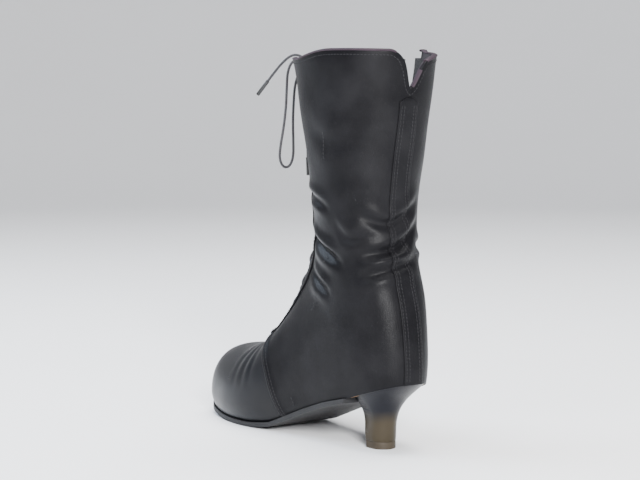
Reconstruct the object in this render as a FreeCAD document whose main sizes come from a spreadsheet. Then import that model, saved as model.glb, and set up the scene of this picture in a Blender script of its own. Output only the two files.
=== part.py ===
import FreeCAD, Part
import Sketcher
import math
import os

# Left boot of a pair: a lace-up ankle boot in soft leather, with a small waisted heel, a laced front
# and a zip on the inner side.  Millimetres.  +Z up, +Y to the toe, +X to the inner (medial) side.
# The origin is the middle of the heel tip's ground face.

V = FreeCAD.Vector
doc = FreeCAD.newDocument("ankle_boot")

# ------------------------------------------------------------------------------- driving sizes
SIZES = {
    # the whole
    "boot_length": 251, "boot_height": 297, "ball_width": 88.5, "ankle_width": 66, "collar_width": 95,
    # the layers of the wall, from outside to inside
    "overlay": 1.0, "leather": 1.4, "stiffener": 0.9, "lining": 0.9, "glue_gap": 0.3,
    "tongue_thick": 1.3, "tongue_room": 0.9, "throat_half": 8, "facing_strip": 15, "panel_gap": 0.3, "backstay_half": 8,
    "notch_depth": 31, "notch_half": 10, "notch_top": "=boot_height",
    # the bottom
    "sole_thick": 3.8, "sole_edge": 1.5, "board_thick": 2.2, "foam_thick": 1.6, "sock_thick": 0.9,
    "filler_thick": 1.3, "shank_width": 14, "shank_thick": 1.1, "shank_length": 104,
    # the heel
    "tip_thick": 5.5, "tip_half": 9, "tip_back": 8.5, "tip_front": 7.5, "cover_thick": 0.8,
    "dowel_radius": 1.6, "dowel_length": 17, "heel_screw_radius": 2.2, "heel_screw_length": 15,
    "heel_screw_head": 4.5, "nail_radius": 0.9, "nail_length": 10, "nail_spread": 11,
    "rivet_radius": 1.8, "fit": 0.05,
    # lacing
    "lace": 2.0, "eyelet_bore": 2.1, "eyelet_wall": 0.5, "eyelet_flange": 4.0, "eyelet_sheet": 0.5,
    "eyelet_rows": 10, "eyelet_first": 10, "eyelet_last": 10, "knot_half": 4.6,
    "tag_radius": 1.5, "tag_length": 14,
    # zip
    "zip_start": 146, "zip_below_top": 9, "zip_stop": "=boot_height - zip_below_top", "zip_closed": 205, "zip_slit": 5.0, "zip_spread": 6.5,
    "tape_width": 9.5, "tape_thick": 0.5, "tape_drop": 1.4, "tooth_width": 1.6, "tooth_thick": 2.0,
    "tooth_gap": 1.4, "slider_width": 8.4, "slider_length": 11, "slider_plate": 1.1,
    "slider_clearance": 0.25, "post_thick": 0.9, "bail_width": 2.2, "bail_length": 5, "bail_lift": 1.9,
    "pin_radius": 0.8, "pin_clearance": 0.06, "tab_width": 6.5, "tab_length": 23, "tab_thick": 1.3,
    "stop_long": 3,
}
sheet = doc.addObject("Spreadsheet::Sheet", "sizes")
for row, (alias, value) in enumerate(SIZES.items(), start=1):
    sheet.set("A%d" % row, alias)
    sheet.set("B%d" % row, str(value))
    sheet.setAlias("B%d" % row, alias)
doc.recompute()


class Size:
    """A length together with the sheet expression that gives it."""

    def __init__(self, value, text):
        self.value = value
        self.text = text

    def join(self, other, sign):
        other = other if isinstance(other, Size) else Size(other, repr(other))
        return other, "(%s %s %s)" % (self.text, sign, other.text)

    def __add__(self, other):
        other, text = self.join(other, "+")
        return Size(self.value + other.value, text)

    def __sub__(self, other):
        other, text = self.join(other, "-")
        return Size(self.value - other.value, text)

    def __mul__(self, other):
        other, text = self.join(other, "*")
        return Size(self.value * other.value, text)

    def __truediv__(self, other):
        other, text = self.join(other, "/")
        return Size(self.value / other.value, text)


def size(alias):
    return Size(float(sheet.get(alias)), "sizes." + alias)


def num(alias):
    return float(sheet.get(alias))


# ------------------------------------------------------------------------------- the form
# Ribs from the toe tip round to the top of the shaft.  Each holds the upper and the lower point of
# its side view (y, z), its half widths on the outer and the inner side, how far its middle leans
# inwards, and how far up from the lower point it is widest.
RIBS = [
    ((212.5, 28), (212.5, 19), 3, 3, 3, .5),
    ((211, 38), (210.5, 9), 13, 13, 3, .45),
    ((206, 47), (207, 3), 22, 21, 3.5, .42),
    ((195, 55), (198.5, -2), 30, 29, 4, .40),
    ((178, 60), (184, -5), 37, 36, 4, .38),
    ((154, 63), (162, -6), 43, 41, 3, .36),
    ((128, 71), (137, -6), 45, 43.5, 1.5, .36),
    ((106, 87), (110, -4), 42, 40.5, 0, .38),
    ((91, 106), (72, 4), 37.5, 37, 0, .42),
    ((80, 125), (30, 10), 35, 35, 0, .45),
    ((74, 138), (-7, 14), 34.2, 34, 0, .47),
    ((70, 150), (-35, 36), 33.6, 33.4, 0, .48),
    ((67, 160), (-36.5, 80), 33, 33, 0, .5),
    ((66, 172), (-31, 112), 33, 33, 0, .5),
    ((65.5, 184), (-21, 140), 34.4, 34.4, 0, .5),
    ((67, 202), (-17, 168), 36.8, 36.8, 0, .5),
    ((71.5, 228), (-21.5, 206), 40, 40, 0, .5),
    ((77.5, 258), (-29, 248), 43.5, 43.5, 0, .5),
    ((86.5, 298), (-37.5, 306), 48, 48, 0, .5),
]
ANKLE_RIB = 12
SPAN, TALL, BALL, ANKLE, COLLAR, SOLE = 251.0, 297.0, 88.5, 66.0, 95.0, 3.8
POINTS = 24
ROUNDNESS = 2 / 2.25


def along(y):
    """A place along the boot, moved with its length."""
    return y * num("boot_length") / SPAN


def up(z):
    """A height on the boot, moved with its height; the sole's thickness lifts everything."""
    return (z - SOLE) * (num("boot_height") - num("sole_thick")) / (TALL - SOLE) + num("sole_thick")


def widths(rib):
    """Half widths: the forefoot follows the ball's width, the shaft the ankle's and the collar's."""
    fore = num("ball_width") / BALL
    if rib <= ANKLE_RIB:
        share = max(0.0, (rib - 6) / (ANKLE_RIB - 6))
        scale = fore + (num("ankle_width") / ANKLE - fore) * share
    else:
        share = (rib - ANKLE_RIB) / (len(RIBS) - 1 - ANKLE_RIB)
        scale = (num("ankle_width") / ANKLE) * (1 - share) + (num("collar_width") / COLLAR) * share
    return RIBS[rib][2] * scale, RIBS[rib][3] * scale


def rib_row(rib):
    top, low, _, _, lean, widest = RIBS[rib]
    outer, inner = widths(rib)
    return [along(top[0]), up(top[1]), along(low[0]), up(low[1]), outer, inner, lean, widest]


def blend(a, b, t):
    return [p + (q - p) * t for p, q in zip(a, b)]


def smooth_rows(rows):
    """Rows between the ribs, on a curve through them (centripetal Catmull-Rom)."""
    def gap(a, b):
        return (math.hypot(a[0] - b[0], a[1] - b[1]) + math.hypot(a[2] - b[2], a[3] - b[3])) ** 0.5

    ends = [blend(rows[1], rows[0], 2)] + rows + [blend(rows[-2], rows[-1], 2)]
    out = []
    for k in range(len(rows) - 1):
        p0, p1, p2, p3 = ends[k:k + 4]
        t1 = gap(p0, p1)
        t2 = t1 + gap(p1, p2)
        t3 = t2 + gap(p2, p3)
        for t in (t1, (t1 + t2) / 2):
            a1 = blend(p0, p1, t / t1)
            a2 = blend(p1, p2, (t - t1) / (t2 - t1))
            a3 = blend(p2, p3, (t - t2) / (t3 - t2))
            b1 = blend(a1, a2, t / t2)
            b2 = blend(a2, a3, (t - t1) / (t3 - t1))
            out.append(blend(b1, b2, (t - t1) / (t2 - t1)))
    return out + [rows[-1]]


def ring(row):
    """One rib's closed outline, squarer than an ellipse; its first point is the lowest one."""
    ty, tz, by, bz, outer, inner, lean, widest = row
    top, low = V(0, ty, tz), V(0, by, bz)
    rise = top - low
    height = rise.Length
    rise.normalize()
    middle = low + rise * (height * widest)
    points = []
    for k in range(POINTS):
        turn = 2 * math.pi * k / POINTS
        side, lift = -math.sin(turn), -math.cos(turn)
        wide = outer if side < 0 else inner
        tall = height * (1 - widest) if lift > 0 else height * widest
        p = middle + rise * (math.copysign(abs(lift) ** ROUNDNESS, lift) * tall)
        points.append(V(lean + math.copysign(abs(side) ** ROUNDNESS, side) * wide, p.y, p.z))
    return points


NET = [ring(row) for row in smooth_rows([rib_row(k) for k in range(len(RIBS))])]


def centre(points):
    total = V(0, 0, 0)
    for p in points:
        total += p
    return total * (1.0 / len(points))


def moved_net(depth):
    """The net moved outwards by depth, a number or a function of the row; both ends stay flat."""
    out = []
    for i, row in enumerate(NET):
        d = depth(i) if callable(depth) else depth
        before, after = NET[max(0, i - 1)], NET[min(len(NET) - 1, i + 1)]
        mid = centre(row)
        flat = (row[0] - mid).cross(row[POINTS // 4] - mid)
        flat.normalize()
        new = []
        for k, p in enumerate(row):
            normal = (after[k] - before[k]).cross(row[(k + 1) % POINTS] - row[k - 1])
            normal.normalize()
            if normal.dot(p - mid) < 0:
                normal = normal * -1
            if i == 0:
                q = mid + (p - mid) * max(0.5, 1 + d * 0.4 / (p - mid).Length) + V(0, d, 0)
            else:
                q = p + normal * d
            if i == len(NET) - 1:
                q = q - flat * (q - mid).dot(flat)
            new.append(q)
        out.append(new)
    return out


def surface(depth):
    net = moved_net(depth)
    rows = len(net)
    skin = Part.BSplineSurface()
    skin.buildFromPolesMultsKnots(net, [4] + [1] * (rows - 4) + [4], [1] * (POINTS + 1),
                                  list(range(rows - 2)), list(range(POINTS + 1)),
                                  False, True, 3, 3)
    return skin


MADE = {}


def form(depth, key=None):
    """The closed solid of the form, depth outside its leather surface (inside where negative)."""
    key = key or depth
    if key not in MADE:
        face = surface(depth).toShape()
        ends = [Part.Face(Part.Wire([e])) for e in face.Edges if e.isClosed() and not e.isSeam(face)]
        shell = Part.makeCompound([face] + ends)
        shell.sewShape(0.01)
        solid = Part.Solid(shell if shell.ShapeType == "Shell" else shell.Shells[0])
        if not solid.isValid():
            solid.fix(1e-4, 1e-4, 1e-2)
        if solid.Volume < 0:
            solid.reverse()
        MADE[key] = solid
    return MADE[key]


SKIN = surface(0)


def on_skin(row, x, front=True):
    """A point of the leather surface, and its outward normal, at a row of the net and a given x."""
    low, high = (POINTS / 4, 3 * POINTS / 4) if front else (-POINTS / 4, POINTS / 4)
    for _ in range(40):
        mid = (low + high) / 2
        here = SKIN.value(row, mid % POINTS).x
        if (here < x) == front:
            low = mid
        else:
            high = mid
    v = (low + high) / 2 % POINTS
    point, normal = SKIN.value(row, v), SKIN.normal(row, v)
    inner = SKIN.value(row, (v + POINTS / 2) % POINTS)
    return point, normal if normal.dot(point - inner) > 0 else normal * -1


# ------------------------------------------------------------------------------- lines and prisms
def route(points, share=0.45, closed=False):
    """Straight runs joined by tangent arcs; share is the arc's part of the shorter run beside it."""
    pts = [V(*p) for p in points]
    edges, radii, start = [], [], pts[0]
    for a, b, c in zip(pts, pts[1:], pts[2:]):
        one, two = b - a, c - b
        reach = share * min(one.Length, two.Length)
        one.normalize()
        two.normalize()
        turn = math.acos(max(-1.0, min(1.0, one.dot(two))))
        radius = reach / math.tan(turn / 2)
        before, after = b - one * reach, b + two * reach
        inward = two - one
        inward.normalize()
        middle = b + inward * (radius / math.cos(turn / 2) - radius)
        edges.append(Part.LineSegment(start, before).toShape())
        edges.append(Part.Arc(before, middle, after).toShape())
        radii.append(radius)
        start = after
    edges.append(Part.LineSegment(start, pts[-1]).toShape())
    return Part.Wire(edges), radii


def tube(points, diameter, share=0.45, name=""):
    """A round cord along a route; prints its tightest radius and compares its volume."""
    path, radii = route(points, share)
    first, second = V(*points[0]), V(*points[1])
    circle = Part.Wire([Part.Circle(first, second - first, diameter / 2).toShape()])
    solid = path.makePipeShell([circle], True, False)
    ideal = math.pi * (diameter / 2) ** 2 * path.Length
    print("%s: %.0f mm long, radii %s, volume %.3f of its section times its length"
          % (name, path.Length, " ".join("%.1f" % r for r in radii), solid.Volume / ideal))
    return solid


def side_prism(outline, x0=-120, x1=120):
    """A prism across the boot from an outline in side view, (y, z) of the nominal boot."""
    wire = Part.makePolygon([V(x0, along(y), up(z)) for y, z in outline + outline[:1]])
    return Part.Face(wire).extrude(V(x1 - x0, 0, 0))


def front_prism(outline, y0, y1):
    """A prism along the boot from an outline in front view, (x, z), both real."""
    wire = Part.makePolygon([V(x, y0, z) for x, z in outline + outline[:1]])
    return Part.Face(wire).extrude(V(0, y1 - y0, 0))


# the feather line, where the upper meets the sole, in side view
FEATHER = [(-70, 60), (-35, 52.5), (10, 38.5), (35, 32.5), (62, 23.5), (105, 6.8), (130, SOLE), (165, SOLE),
           (195, 7), (240, 20)]


def feather_slab(low, high):
    """Between two levels measured up from the feather line, over the boot's whole breadth."""
    top, _ = route([(-120, along(y), up(z) + high) for y, z in FEATHER], 0.25)
    end, start = top.Vertexes[-1].Point, top.Vertexes[0].Point
    drop = V(0, 0, low - high)
    if low < -90:
        floor = V(0, 0, -90)
        close = [start, V(start.x, start.y, -90), V(end.x, end.y, -90), end]
        wire = Part.Wire(top.Edges + Part.makePolygon(list(reversed(close))).Edges)
    else:
        bottom = top.copy()
        bottom.translate(drop)
        ends = [Part.LineSegment(p, p + drop).toShape() for p in (start, end)]
        wire = Part.Wire(Part.__sortEdges__(top.Edges + bottom.Edges + ends))
    return Part.Face(wire).extrude(V(240, 0, 0))


# the collar line in side view: a little lower in front, wavy towards the back
COLLAR_LINE = [(140, 284), (81, 290), (66, 291), (50, 290), (35, 293), (14, 297), (-20, 297),
               (-60, 295), (-60, 400), (140, 400)]


def wall(outer, inner, trim=0.0):
    """A layer of the upper between two depths, from the feather line to the collar line."""
    shell = form(outer).cut(form(inner))
    shell = shell.cut(feather_slab(-100, trim))
    return shell.cut(side_prism(COLLAR_LINE))


# depths of the layers, from the outer face of the leather
GAP = num("glue_gap")
OVERLAY = (GAP + num("overlay"), GAP)
LEATHER = (0.0, -num("leather"))
STIFFENER = (LEATHER[1] - GAP, LEATHER[1] - GAP - num("stiffener"))
LINING = (STIFFENER[1] - GAP, STIFFENER[1] - GAP - num("lining"))
LACE_IN = LINING[1] - num("eyelet_sheet") - GAP - num("lace") / 2
LACE_OUT = OVERLAY[0] + num("eyelet_sheet") + 2 * GAP + num("lace")
TONGUE_TOP = LACE_IN - num("lace") / 2 - GAP - num("tongue_room")
TONGUE = (TONGUE_TOP, TONGUE_TOP - num("tongue_thick"))

# where the panels part, in side view
VAMP = [(84, -30), (88, 22), (96, 44), (106, 62), (113, 76), (122, 96), (260, 120), (260, -30)]
FRONT = [(70, 50), (28, 140), (20, 200), (20, 420), (220, 420), (220, 50)]
REAR = [(25, 60), (8, 140), (8, 420), (-90, 420), (-90, 30), (-10, 30)]


def grown(outline, dy):
    return [(y + dy, z) for y, z in outline]


def clean(shape, name):
    """One valid solid out of a cut; crumbs that a cut leaves are dropped."""
    solids = sorted(shape.Solids, key=lambda s: -s.Volume)
    if not solids:
        raise ValueError(name + " is empty")
    big = solids[0]
    for crumb in solids[1:]:
        if crumb.Volume > 0.05 * big.Volume:
            raise ValueError("%s came apart: %.1f and %.1f mm3" % (name, big.Volume, crumb.Volume))
    return big


NODES = []


def feature(name, shape, whole=True):
    """A free-form piece as one object of the document."""
    item = doc.addObject("Part::Feature", name)
    item.Label = name
    item.Shape = clean(shape, name) if whole else shape
    NODES.append(item)
    return item


# ------------------------------------------------------------------------------- sketches and bodies
def plane(body, role):
    return next(item for item in body.Origin.OriginFeatures if item.Role == role)


def new_body(name, label=None):
    body = doc.addObject("PartDesign::Body", name + "_body")
    body.Label = label or name
    return body


def new_sketch(body, name, role, level=None):
    sketch = body.newObject("Sketcher::SketchObject", name)
    sketch.AttachmentSupport = [(plane(body, role), "")]
    sketch.MapMode = "FlatFace"
    if level is not None:
        sketch.AttachmentOffset = FreeCAD.Placement(V(0, 0, level.value), FreeCAD.Rotation())
        sketch.setExpression("AttachmentOffset.Base.z", level.text)
    return sketch


def bind(sketch, kind, *arguments):
    """A dimension whose value is a Size, bound to the sheet."""
    *places, length = arguments
    index = sketch.addConstraint(Sketcher.Constraint(kind, *places, length.value))
    sketch.setExpression("Constraints[%d]" % index, length.text)


def outline(sketch, corners):
    """A closed outline whose corners are pairs of Sizes or zeros, each fixed from the origin."""
    points = [V(*(c.value if isinstance(c, Size) else float(c) for c in corner)) for corner in corners]
    count = len(points)
    for k in range(count):
        sketch.addGeometry(Part.LineSegment(points[k], points[(k + 1) % count]))
    for k in range(count):
        sketch.addConstraint(Sketcher.Constraint("Coincident", k, 2, (k + 1) % count, 1))
        for kind, axis, value in (("DistanceX", -2, corners[k][0]), ("DistanceY", -1, corners[k][1])):
            if isinstance(value, Size):
                bind(sketch, kind, -1, 1, k, 1, value)
            else:
                sketch.addConstraint(Sketcher.Constraint("PointOnObject", k, 1, axis))


def turned(name, corners):
    """A round piece: its half profile (radius, height) turned about Z."""
    body = new_body(name)
    sketch = new_sketch(body, name + "_profile", "XZ_Plane")
    outline(sketch, corners)
    spin = body.newObject("PartDesign::Revolution", name + "_turn")
    spin.Profile = sketch
    spin.ReferenceAxis = (sketch, ["V_Axis"])
    spin.Angle = 360
    doc.recompute()
    return body


def padded(name, corners, length, role="XY_Plane", both=False):
    """A prism: an outline padded by a Size."""
    body = new_body(name)
    sketch = new_sketch(body, name + "_outline", role)
    outline(sketch, corners)
    pad = body.newObject("PartDesign::Pad", name + "_pad")
    pad.Profile = sketch
    pad.Midplane = both
    pad.Length = length.value
    pad.setExpression("Length", length.text)
    doc.recompute()
    return body


def cut_by(name, base, tools, level=True):
    """A body less the shapes that pass through it, as a Part::Cut."""
    tool = doc.addObject("Part::Feature", name + "_cutter")
    tool.Label = name + "_cutter"
    tool.Shape = Part.makeCompound(tools)
    base.Label = name + "_blank"
    item = doc.addObject("Part::Cut", name)
    item.Base = base
    item.Tool = tool
    item.Label = name
    doc.recompute()
    NODES.append(item)
    return item


def node(body, label):
    body.Label = label
    NODES.append(body)
    return body


def copies(name, body, places):
    """Identical small pieces, each a solid of its own in one node."""
    solids = []
    for place in places:
        solid = body.Shape.copy()
        solid.Placement = place.multiply(solid.Placement)
        solids.append(solid)
    body.Label = name + "_pattern"
    return feature(name, Part.makeCompound(solids), whole=False)


def facing(point, normal, spin=V(0, 0, 1)):
    """The placement that stands a piece's Z axis along a normal at a point."""
    z = V(normal)
    z.normalize()
    x = spin.cross(z)
    x.normalize()
    y = z.cross(x)
    return FreeCAD.Placement(point, FreeCAD.Rotation(x, y, z, "ZXY"))


def feather(y):
    """Height of the feather line at a real y."""
    line = Part.makeLine(V(-119, y, -80), V(-119, y, 200))
    hit = line.common(feather_slab(-100, 0))
    return max(v.Z for v in hit.Vertexes)


# ------------------------------------------------------------------------------- the upper
HALF = 200
throat_box = Part.makeBox(2 * num("throat_half"), 400, 500, V(-num("throat_half"), -100, -50))
throat = throat_box.common(side_prism(FRONT))
outer_half = Part.makeBox(HALF, 600, 600, V(-HALF - num("panel_gap") / 2, -200, -100))
inner_half = Part.makeBox(HALF, 600, 600, V(num("panel_gap") / 2, -200, -100))
vamp_side = side_prism(VAMP)
NOTCH_FOOT = num("notch_top") - num("notch_depth")
NOTCH_SHAPE = [(0, 0), (-0.3, 0.3), (-0.62, 0.66), (-1.1, 0.87), (-2.0, 1.02), (-2.0, 4), (6, 4), (5.5, 0.98),
               (3.2, 0.86), (1.7, 0.76), (1.15, 0.66), (0.55, 0.24)]
notch = front_prism([(x * num("notch_half"), NOTCH_FOOT + z * num("notch_depth")) for x, z in NOTCH_SHAPE],
                    -150, along(6))

# the zip's straight track down the inner side, and its own frame: out, back-to-front, up
TRACK_Y = along(25)


def side_x(y, z):
    hit = Part.makeLine(V(5, y, z), V(150, y, z)).common(form(0.0, "skin"))
    return max(v.X for v in hit.Vertexes)


zip_foot = V(side_x(TRACK_Y, num("zip_start")), TRACK_Y, num("zip_start"))
zip_head = V(side_x(TRACK_Y, num("zip_stop")), TRACK_Y, num("zip_stop"))
ZIP_UP = zip_head - zip_foot
ZIP_LONG = ZIP_UP.Length
ZIP_UP.normalize()
ZIP_OUT = V(0, 1, 0).cross(ZIP_UP)
ZIP_OUT.normalize()
ZIP_OPEN = (num("zip_closed") - num("zip_start")) / ZIP_UP.z
ZIP_FRAME = FreeCAD.Placement(zip_foot, FreeCAD.Rotation(ZIP_OUT, V(0, 1, 0), ZIP_UP, "ZXY"))


def spread(s):
    """How far each half stands from the track's middle at s up the track."""
    return num("zip_spread") * max(0.0, s - ZIP_OPEN) / (ZIP_LONG - ZIP_OPEN)


def zip_strip(inside, outside, low, deep, side, start=0.0, end=0.0):
    """A strip along one half of the zip; start and end reach past the track's two ends."""
    foot, top = -start, ZIP_LONG + end
    line = [(inside, foot), (inside, ZIP_OPEN), (inside + spread(top), top), (outside + spread(top), top),
            (outside, ZIP_OPEN), (outside, foot)]
    pts = [V(low, side * across, s) for across, s in line]
    strip = Part.Face(Part.makePolygon(pts + pts[:1])).extrude(V(deep, 0, 0))
    strip.Placement = ZIP_FRAME
    return strip


def zip_cut(inside, below=0.0):
    """The slit that the zip closes, as a prism through the wall, out past the collar."""
    wide = inside + spread(ZIP_LONG) * 1.15
    points = [(-inside, -below), (inside, -below), (inside, ZIP_OPEN), (wide, ZIP_LONG * 1.15),
              (-wide, ZIP_LONG * 1.15), (-inside, ZIP_OPEN)]
    pts = [V(-12, a, b) for a, b in points]
    prism = Part.Face(Part.makePolygon(pts + pts[:1])).extrude(V(30, 0, 0))
    prism.Placement = ZIP_FRAME
    return prism


TAPE_FROM = num("tooth_gap") / 2 + 0.3
TAPE_OUT = LEATHER[1] - num("tape_drop")
TAPE_BACK = TAPE_OUT - num("tape_thick")
TAPE_BELOW = 9.0
tape_strips = [zip_strip(TAPE_FROM, TAPE_FROM + num("tape_width"), TAPE_BACK, num("tape_thick"), side,
                         TAPE_BELOW, 3.0) for side in (1, -1)]
slit = zip_cut(num("zip_slit"), 4.5)
lining_slit = zip_cut(TAPE_FROM + num("tape_width") + GAP, TAPE_BELOW + GAP)

# rows of the net that the eyelets stand on, evenly spaced along the front of the shaft
front_line = [on_skin(r * 0.25, 0.0)[0] for r in range(0, 4 * (len(NET) - 3) + 1)]
steps = [0.0]
for a, b in zip(front_line, front_line[1:]):
    steps.append(steps[-1] + (b - a).Length)


def row_at(distance):
    for k in range(1, len(steps)):
        if steps[k] >= distance:
            return 0.25 * (k - 1 + (distance - steps[k - 1]) / (steps[k] - steps[k - 1]))
    return 0.25 * (len(steps) - 1)


def front_distance(test):
    return next(steps[k] for k in range(len(steps)) if test(front_line[k]))


throat_start = front_distance(lambda p: p.y < along(100) and not vamp_side.isInside(p, 0.1, True))
collar_cut = side_prism(COLLAR_LINE)
collar_at = front_distance(lambda p: p.y < along(100) and collar_cut.isInside(p, 0.1, True))
ROWS = int(num("eyelet_rows"))
FIRST = throat_start + num("eyelet_first")
PITCH = (collar_at - num("eyelet_last") - FIRST) / (ROWS - 1)
EYELET_X = num("throat_half") + num("facing_strip") / 2 - 0.3
eyelet_rows = [row_at(FIRST + k * PITCH) for k in range(ROWS)]
eyelet_seats = [on_skin(r, s * EYELET_X) for r in eyelet_rows for s in (-1, 1)]


def bores(radius, low=-12, high=8):
    return [Part.makeCylinder(radius, high - low, p + n * low, n) for p, n in eyelet_seats]


barrel = num("eyelet_bore") + num("eyelet_wall")
eyelet_holes = Part.makeCompound(bores(barrel + num("fit")))


def upper_panels(depths, name, kind, slit_shape):
    """Outer quarter, inner front quarter and inner rear quarter of one layer."""
    shell = wall(*depths).cut(side_prism(grown(VAMP, -num("panel_gap")))).cut(throat).cut(notch)
    shell = shell.cut(eyelet_holes)
    outer = shell.common(outer_half)
    inner = shell.common(inner_half).cut(slit_shape).cut(tape_strips[0]).cut(tape_strips[1])
    low = side_prism([(-90, -50), (25, -50), (25, 420), (-90, 420)], 0, HALF)
    gap = Part.makeBox(HALF, num("panel_gap"), 600, V(0, TRACK_Y - num("panel_gap") / 2, -100))
    feature(name % ("outer", kind), outer)
    feature(name % ("inner_front", kind), inner.cut(low).cut(gap))
    feature(name % ("inner_rear", kind), inner.common(low).cut(gap))


vamp = wall(*LEATHER).common(vamp_side)
feature("vamp", vamp)
upper_panels(LEATHER, "%s_%s", "quarter", slit)
toe_puff = wall(*STIFFENER).common(side_prism([(170, -20), (176, 90), (260, 90), (260, -20)]))
feature("toe_puff", toe_puff)
counter = wall(*STIFFENER).common(side_prism([(-80, 20), (48, 20), (30, 60), (6, 88), (-80, 96)]))
feature("heel_counter", counter)
feature("vamp_lining", wall(*LINING).common(vamp_side))
upper_panels(LINING, "%s_%s", "lining", lining_slit)

# the facings: a strip over each front edge that carries the eyelets
strip = Part.makeBox(num("facing_strip"), 600, 600, V(num("throat_half"), -100, -100))
facing_wall = wall(*OVERLAY).common(side_prism(FRONT)).cut(side_prism(grown(VAMP, -num("panel_gap"))))
facing_wall = facing_wall.cut(eyelet_holes)
feature("inner_facing", facing_wall.common(strip))
feature("outer_facing", facing_wall.common(strip.mirror(V(0, 0, 0), V(1, 0, 0))))

# the backstay covers the back seam from the heel seat to below the notch
back_strip = Part.makeBox(2 * num("backstay_half"), 600, 600, V(-num("backstay_half"), -500, -100))
stay_top = Part.makeBox(400, 600, 400, V(-200, -500, NOTCH_FOOT - 4))
feature("backstay", wall(*OVERLAY).common(side_prism(REAR)).common(back_strip).cut(stay_top))


# the tongue hangs from the throat's foot and runs up behind the laces
def tongue_depth(part):
    def depth(row):
        share = max(0.0, min(1.0, (row - 11.5) / 2.0))
        return (LINING[1] - GAP - part) + (TONGUE[0] - LINING[1] + GAP) * share
    return depth


tongue = form(tongue_depth(0), "tongue_outer").cut(form(tongue_depth(num("tongue_thick")), "tongue_inner"))
tongue_half = num("throat_half") + num("facing_strip") + 3
tongue = tongue.common(Part.makeBox(2 * tongue_half, 600, 600, V(-tongue_half, -100, -100)))
tongue = tongue.common(side_prism([(118, 62), (60, 62), (28, 140), (20, 200), (20, 296), (130, 292), (140, 80)]))
feature("tongue", tongue)

# ------------------------------------------------------------------------------- eyelets and laces
eyelet_height = OVERLAY[0] - LINING[1] + 2 * num("eyelet_sheet")
low_flange = size("eyelet_flange") - size("eyelet_wall")
tall = Size(eyelet_height, repr(round(eyelet_height, 4)))
bore = size("eyelet_bore")
outside = bore + size("eyelet_wall")
sheet_metal = size("eyelet_sheet")
eyelet = turned("eyelet", [(bore, 0), (low_flange, 0), (low_flange, sheet_metal),
                           (outside, sheet_metal), (outside, tall - sheet_metal),
                           (size("eyelet_flange"), tall - sheet_metal), (size("eyelet_flange"), tall),
                           (bore, tall)])
foot_depth = LINING[1] - num("eyelet_sheet")
copies("eyelets", eyelet, [facing(p + n * foot_depth, n) for p, n in eyelet_seats])


def lace_run(start_side):
    """One half of the lace, from the middle of the lowest bar, inside, up to the knot."""
    middle, outward = on_skin(eyelet_rows[0], 0.001)
    middle = middle + outward * LACE_IN
    points = [V(0, middle.y, middle.z), V(start_side * 4.0, middle.y, middle.z)]
    side = start_side
    for k in range(ROWS):
        seat, normal = on_skin(eyelet_rows[k], side * EYELET_X)
        points.append(seat + normal * LACE_IN)
        points.append(seat + normal * LACE_OUT)
        if k == ROWS - 1:
            break
        half = (eyelet_rows[k] + eyelet_rows[k + 1]) / 2
        over = (k % 2 == 0) == (start_side < 0)
        crest, lift = on_skin(half, 0.0)
        points.append(crest + lift * (LACE_OUT - 1.9 + (num("lace") + 2 * GAP + 1.3 if over else 0)))
        target, away = on_skin(eyelet_rows[k + 1], -side * EYELET_X)
        dip_row = eyelet_rows[k] + (eyelet_rows[k + 1] - eyelet_rows[k]) * 0.70
        edge, edge_normal = on_skin(dip_row, -side * (num("throat_half") - num("lace") / 2 - 1.3))
        points.append(edge + edge_normal * (LACE_IN + 0.2))
        side = -side
    return points, side


KNOT_ROW = row_at(collar_at - num("eyelet_last") + 2)
knot_seat, knot_normal = on_skin(KNOT_ROW, 0.0)
knot_middle = knot_seat + knot_normal * (num("knot_half") + 3.0)
knot = Part.makeSphere(num("knot_half"))
stretch = FreeCAD.Matrix()
stretch.scale(1.0, 0.8, 0.85)
knot = knot.transformGeometry(stretch)
knot.translate(knot_middle)
feature("bow_knot", knot)
for start, label in ((-1, "lace_outer_start"), (1, "lace_inner_start")):
    points, end_side = lace_run(start)
    points.append(knot_middle + V(end_side * (num("knot_half") - 0.3), -0.5, 0))
    tuples = [(p.x, p.y, p.z) for p in points]
    feature(label, tube(tuples, num("lace"), 0.3, label).cut(knot))


# ------------------------------------------------------------------------------- free laces
def cord(name, points, diameter):
    """A lace that hangs free: its points are chosen, measured from the knot's middle."""
    real = [(knot_middle.x + x, knot_middle.y + y, knot_middle.z + z) for x, y, z in points]
    feature(name, tube(real, diameter, 0.45, name).cut(knot))
    return [V(*p) for p in real]


OUTER_LOOP = [(-3.2, 0.5, 0.4), (-9.5, 2.0, 3.2), (-15.5, 4.0, 1.2), (-19.0, 5.5, -6.5), (-19.5, 6.0, -19.0),
              (-20.0, 6.3, -35.0), (-22.0, 6.8, -51.0), (-24.5, 7.6, -65.0), (-24.8, 8.6, -74.5),
              (-20.6, 9.4, -81.4), (-14.4, 9.6, -81.0), (-11.2, 9.0, -73.8), (-12.0, 7.8, -62.0),
              (-13.2, 6.8, -46.0), (-13.0, 6.0, -30.0), (-12.4, 5.0, -16.5), (-9.0, 3.2, -6.0),
              (-3.0, 0.8, -1.4)]
INNER_LOOP = [(3.2, 0.5, 0.4), (9.0, 2.4, 2.8), (14.4, 4.0, 0.6), (17.4, 4.8, -6.8), (17.2, 5.0, -18.0),
              (16.6, 5.6, -31.0), (18.2, 6.6, -43.0), (19.6, 7.6, -53.0), (17.4, 8.8, -60.6),
              (11.6, 9.4, -63.2), (7.2, 9.0, -58.6), (7.0, 8.0, -48.6), (9.4, 6.8, -35.0),
              (10.2, 5.4, -21.0), (8.0, 3.6, -9.0), (3.0, 0.8, -1.4)]
OUTER_END = [(-2.4, 2.2, 1.0), (-5.0, 7.0, 5.2), (-8.4, 13.4, 6.2), (-11.8, 20.0, 1.6), (-15.4, 26.5, -6.0),
             (-19.0, 32.5, -14.5)]
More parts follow.
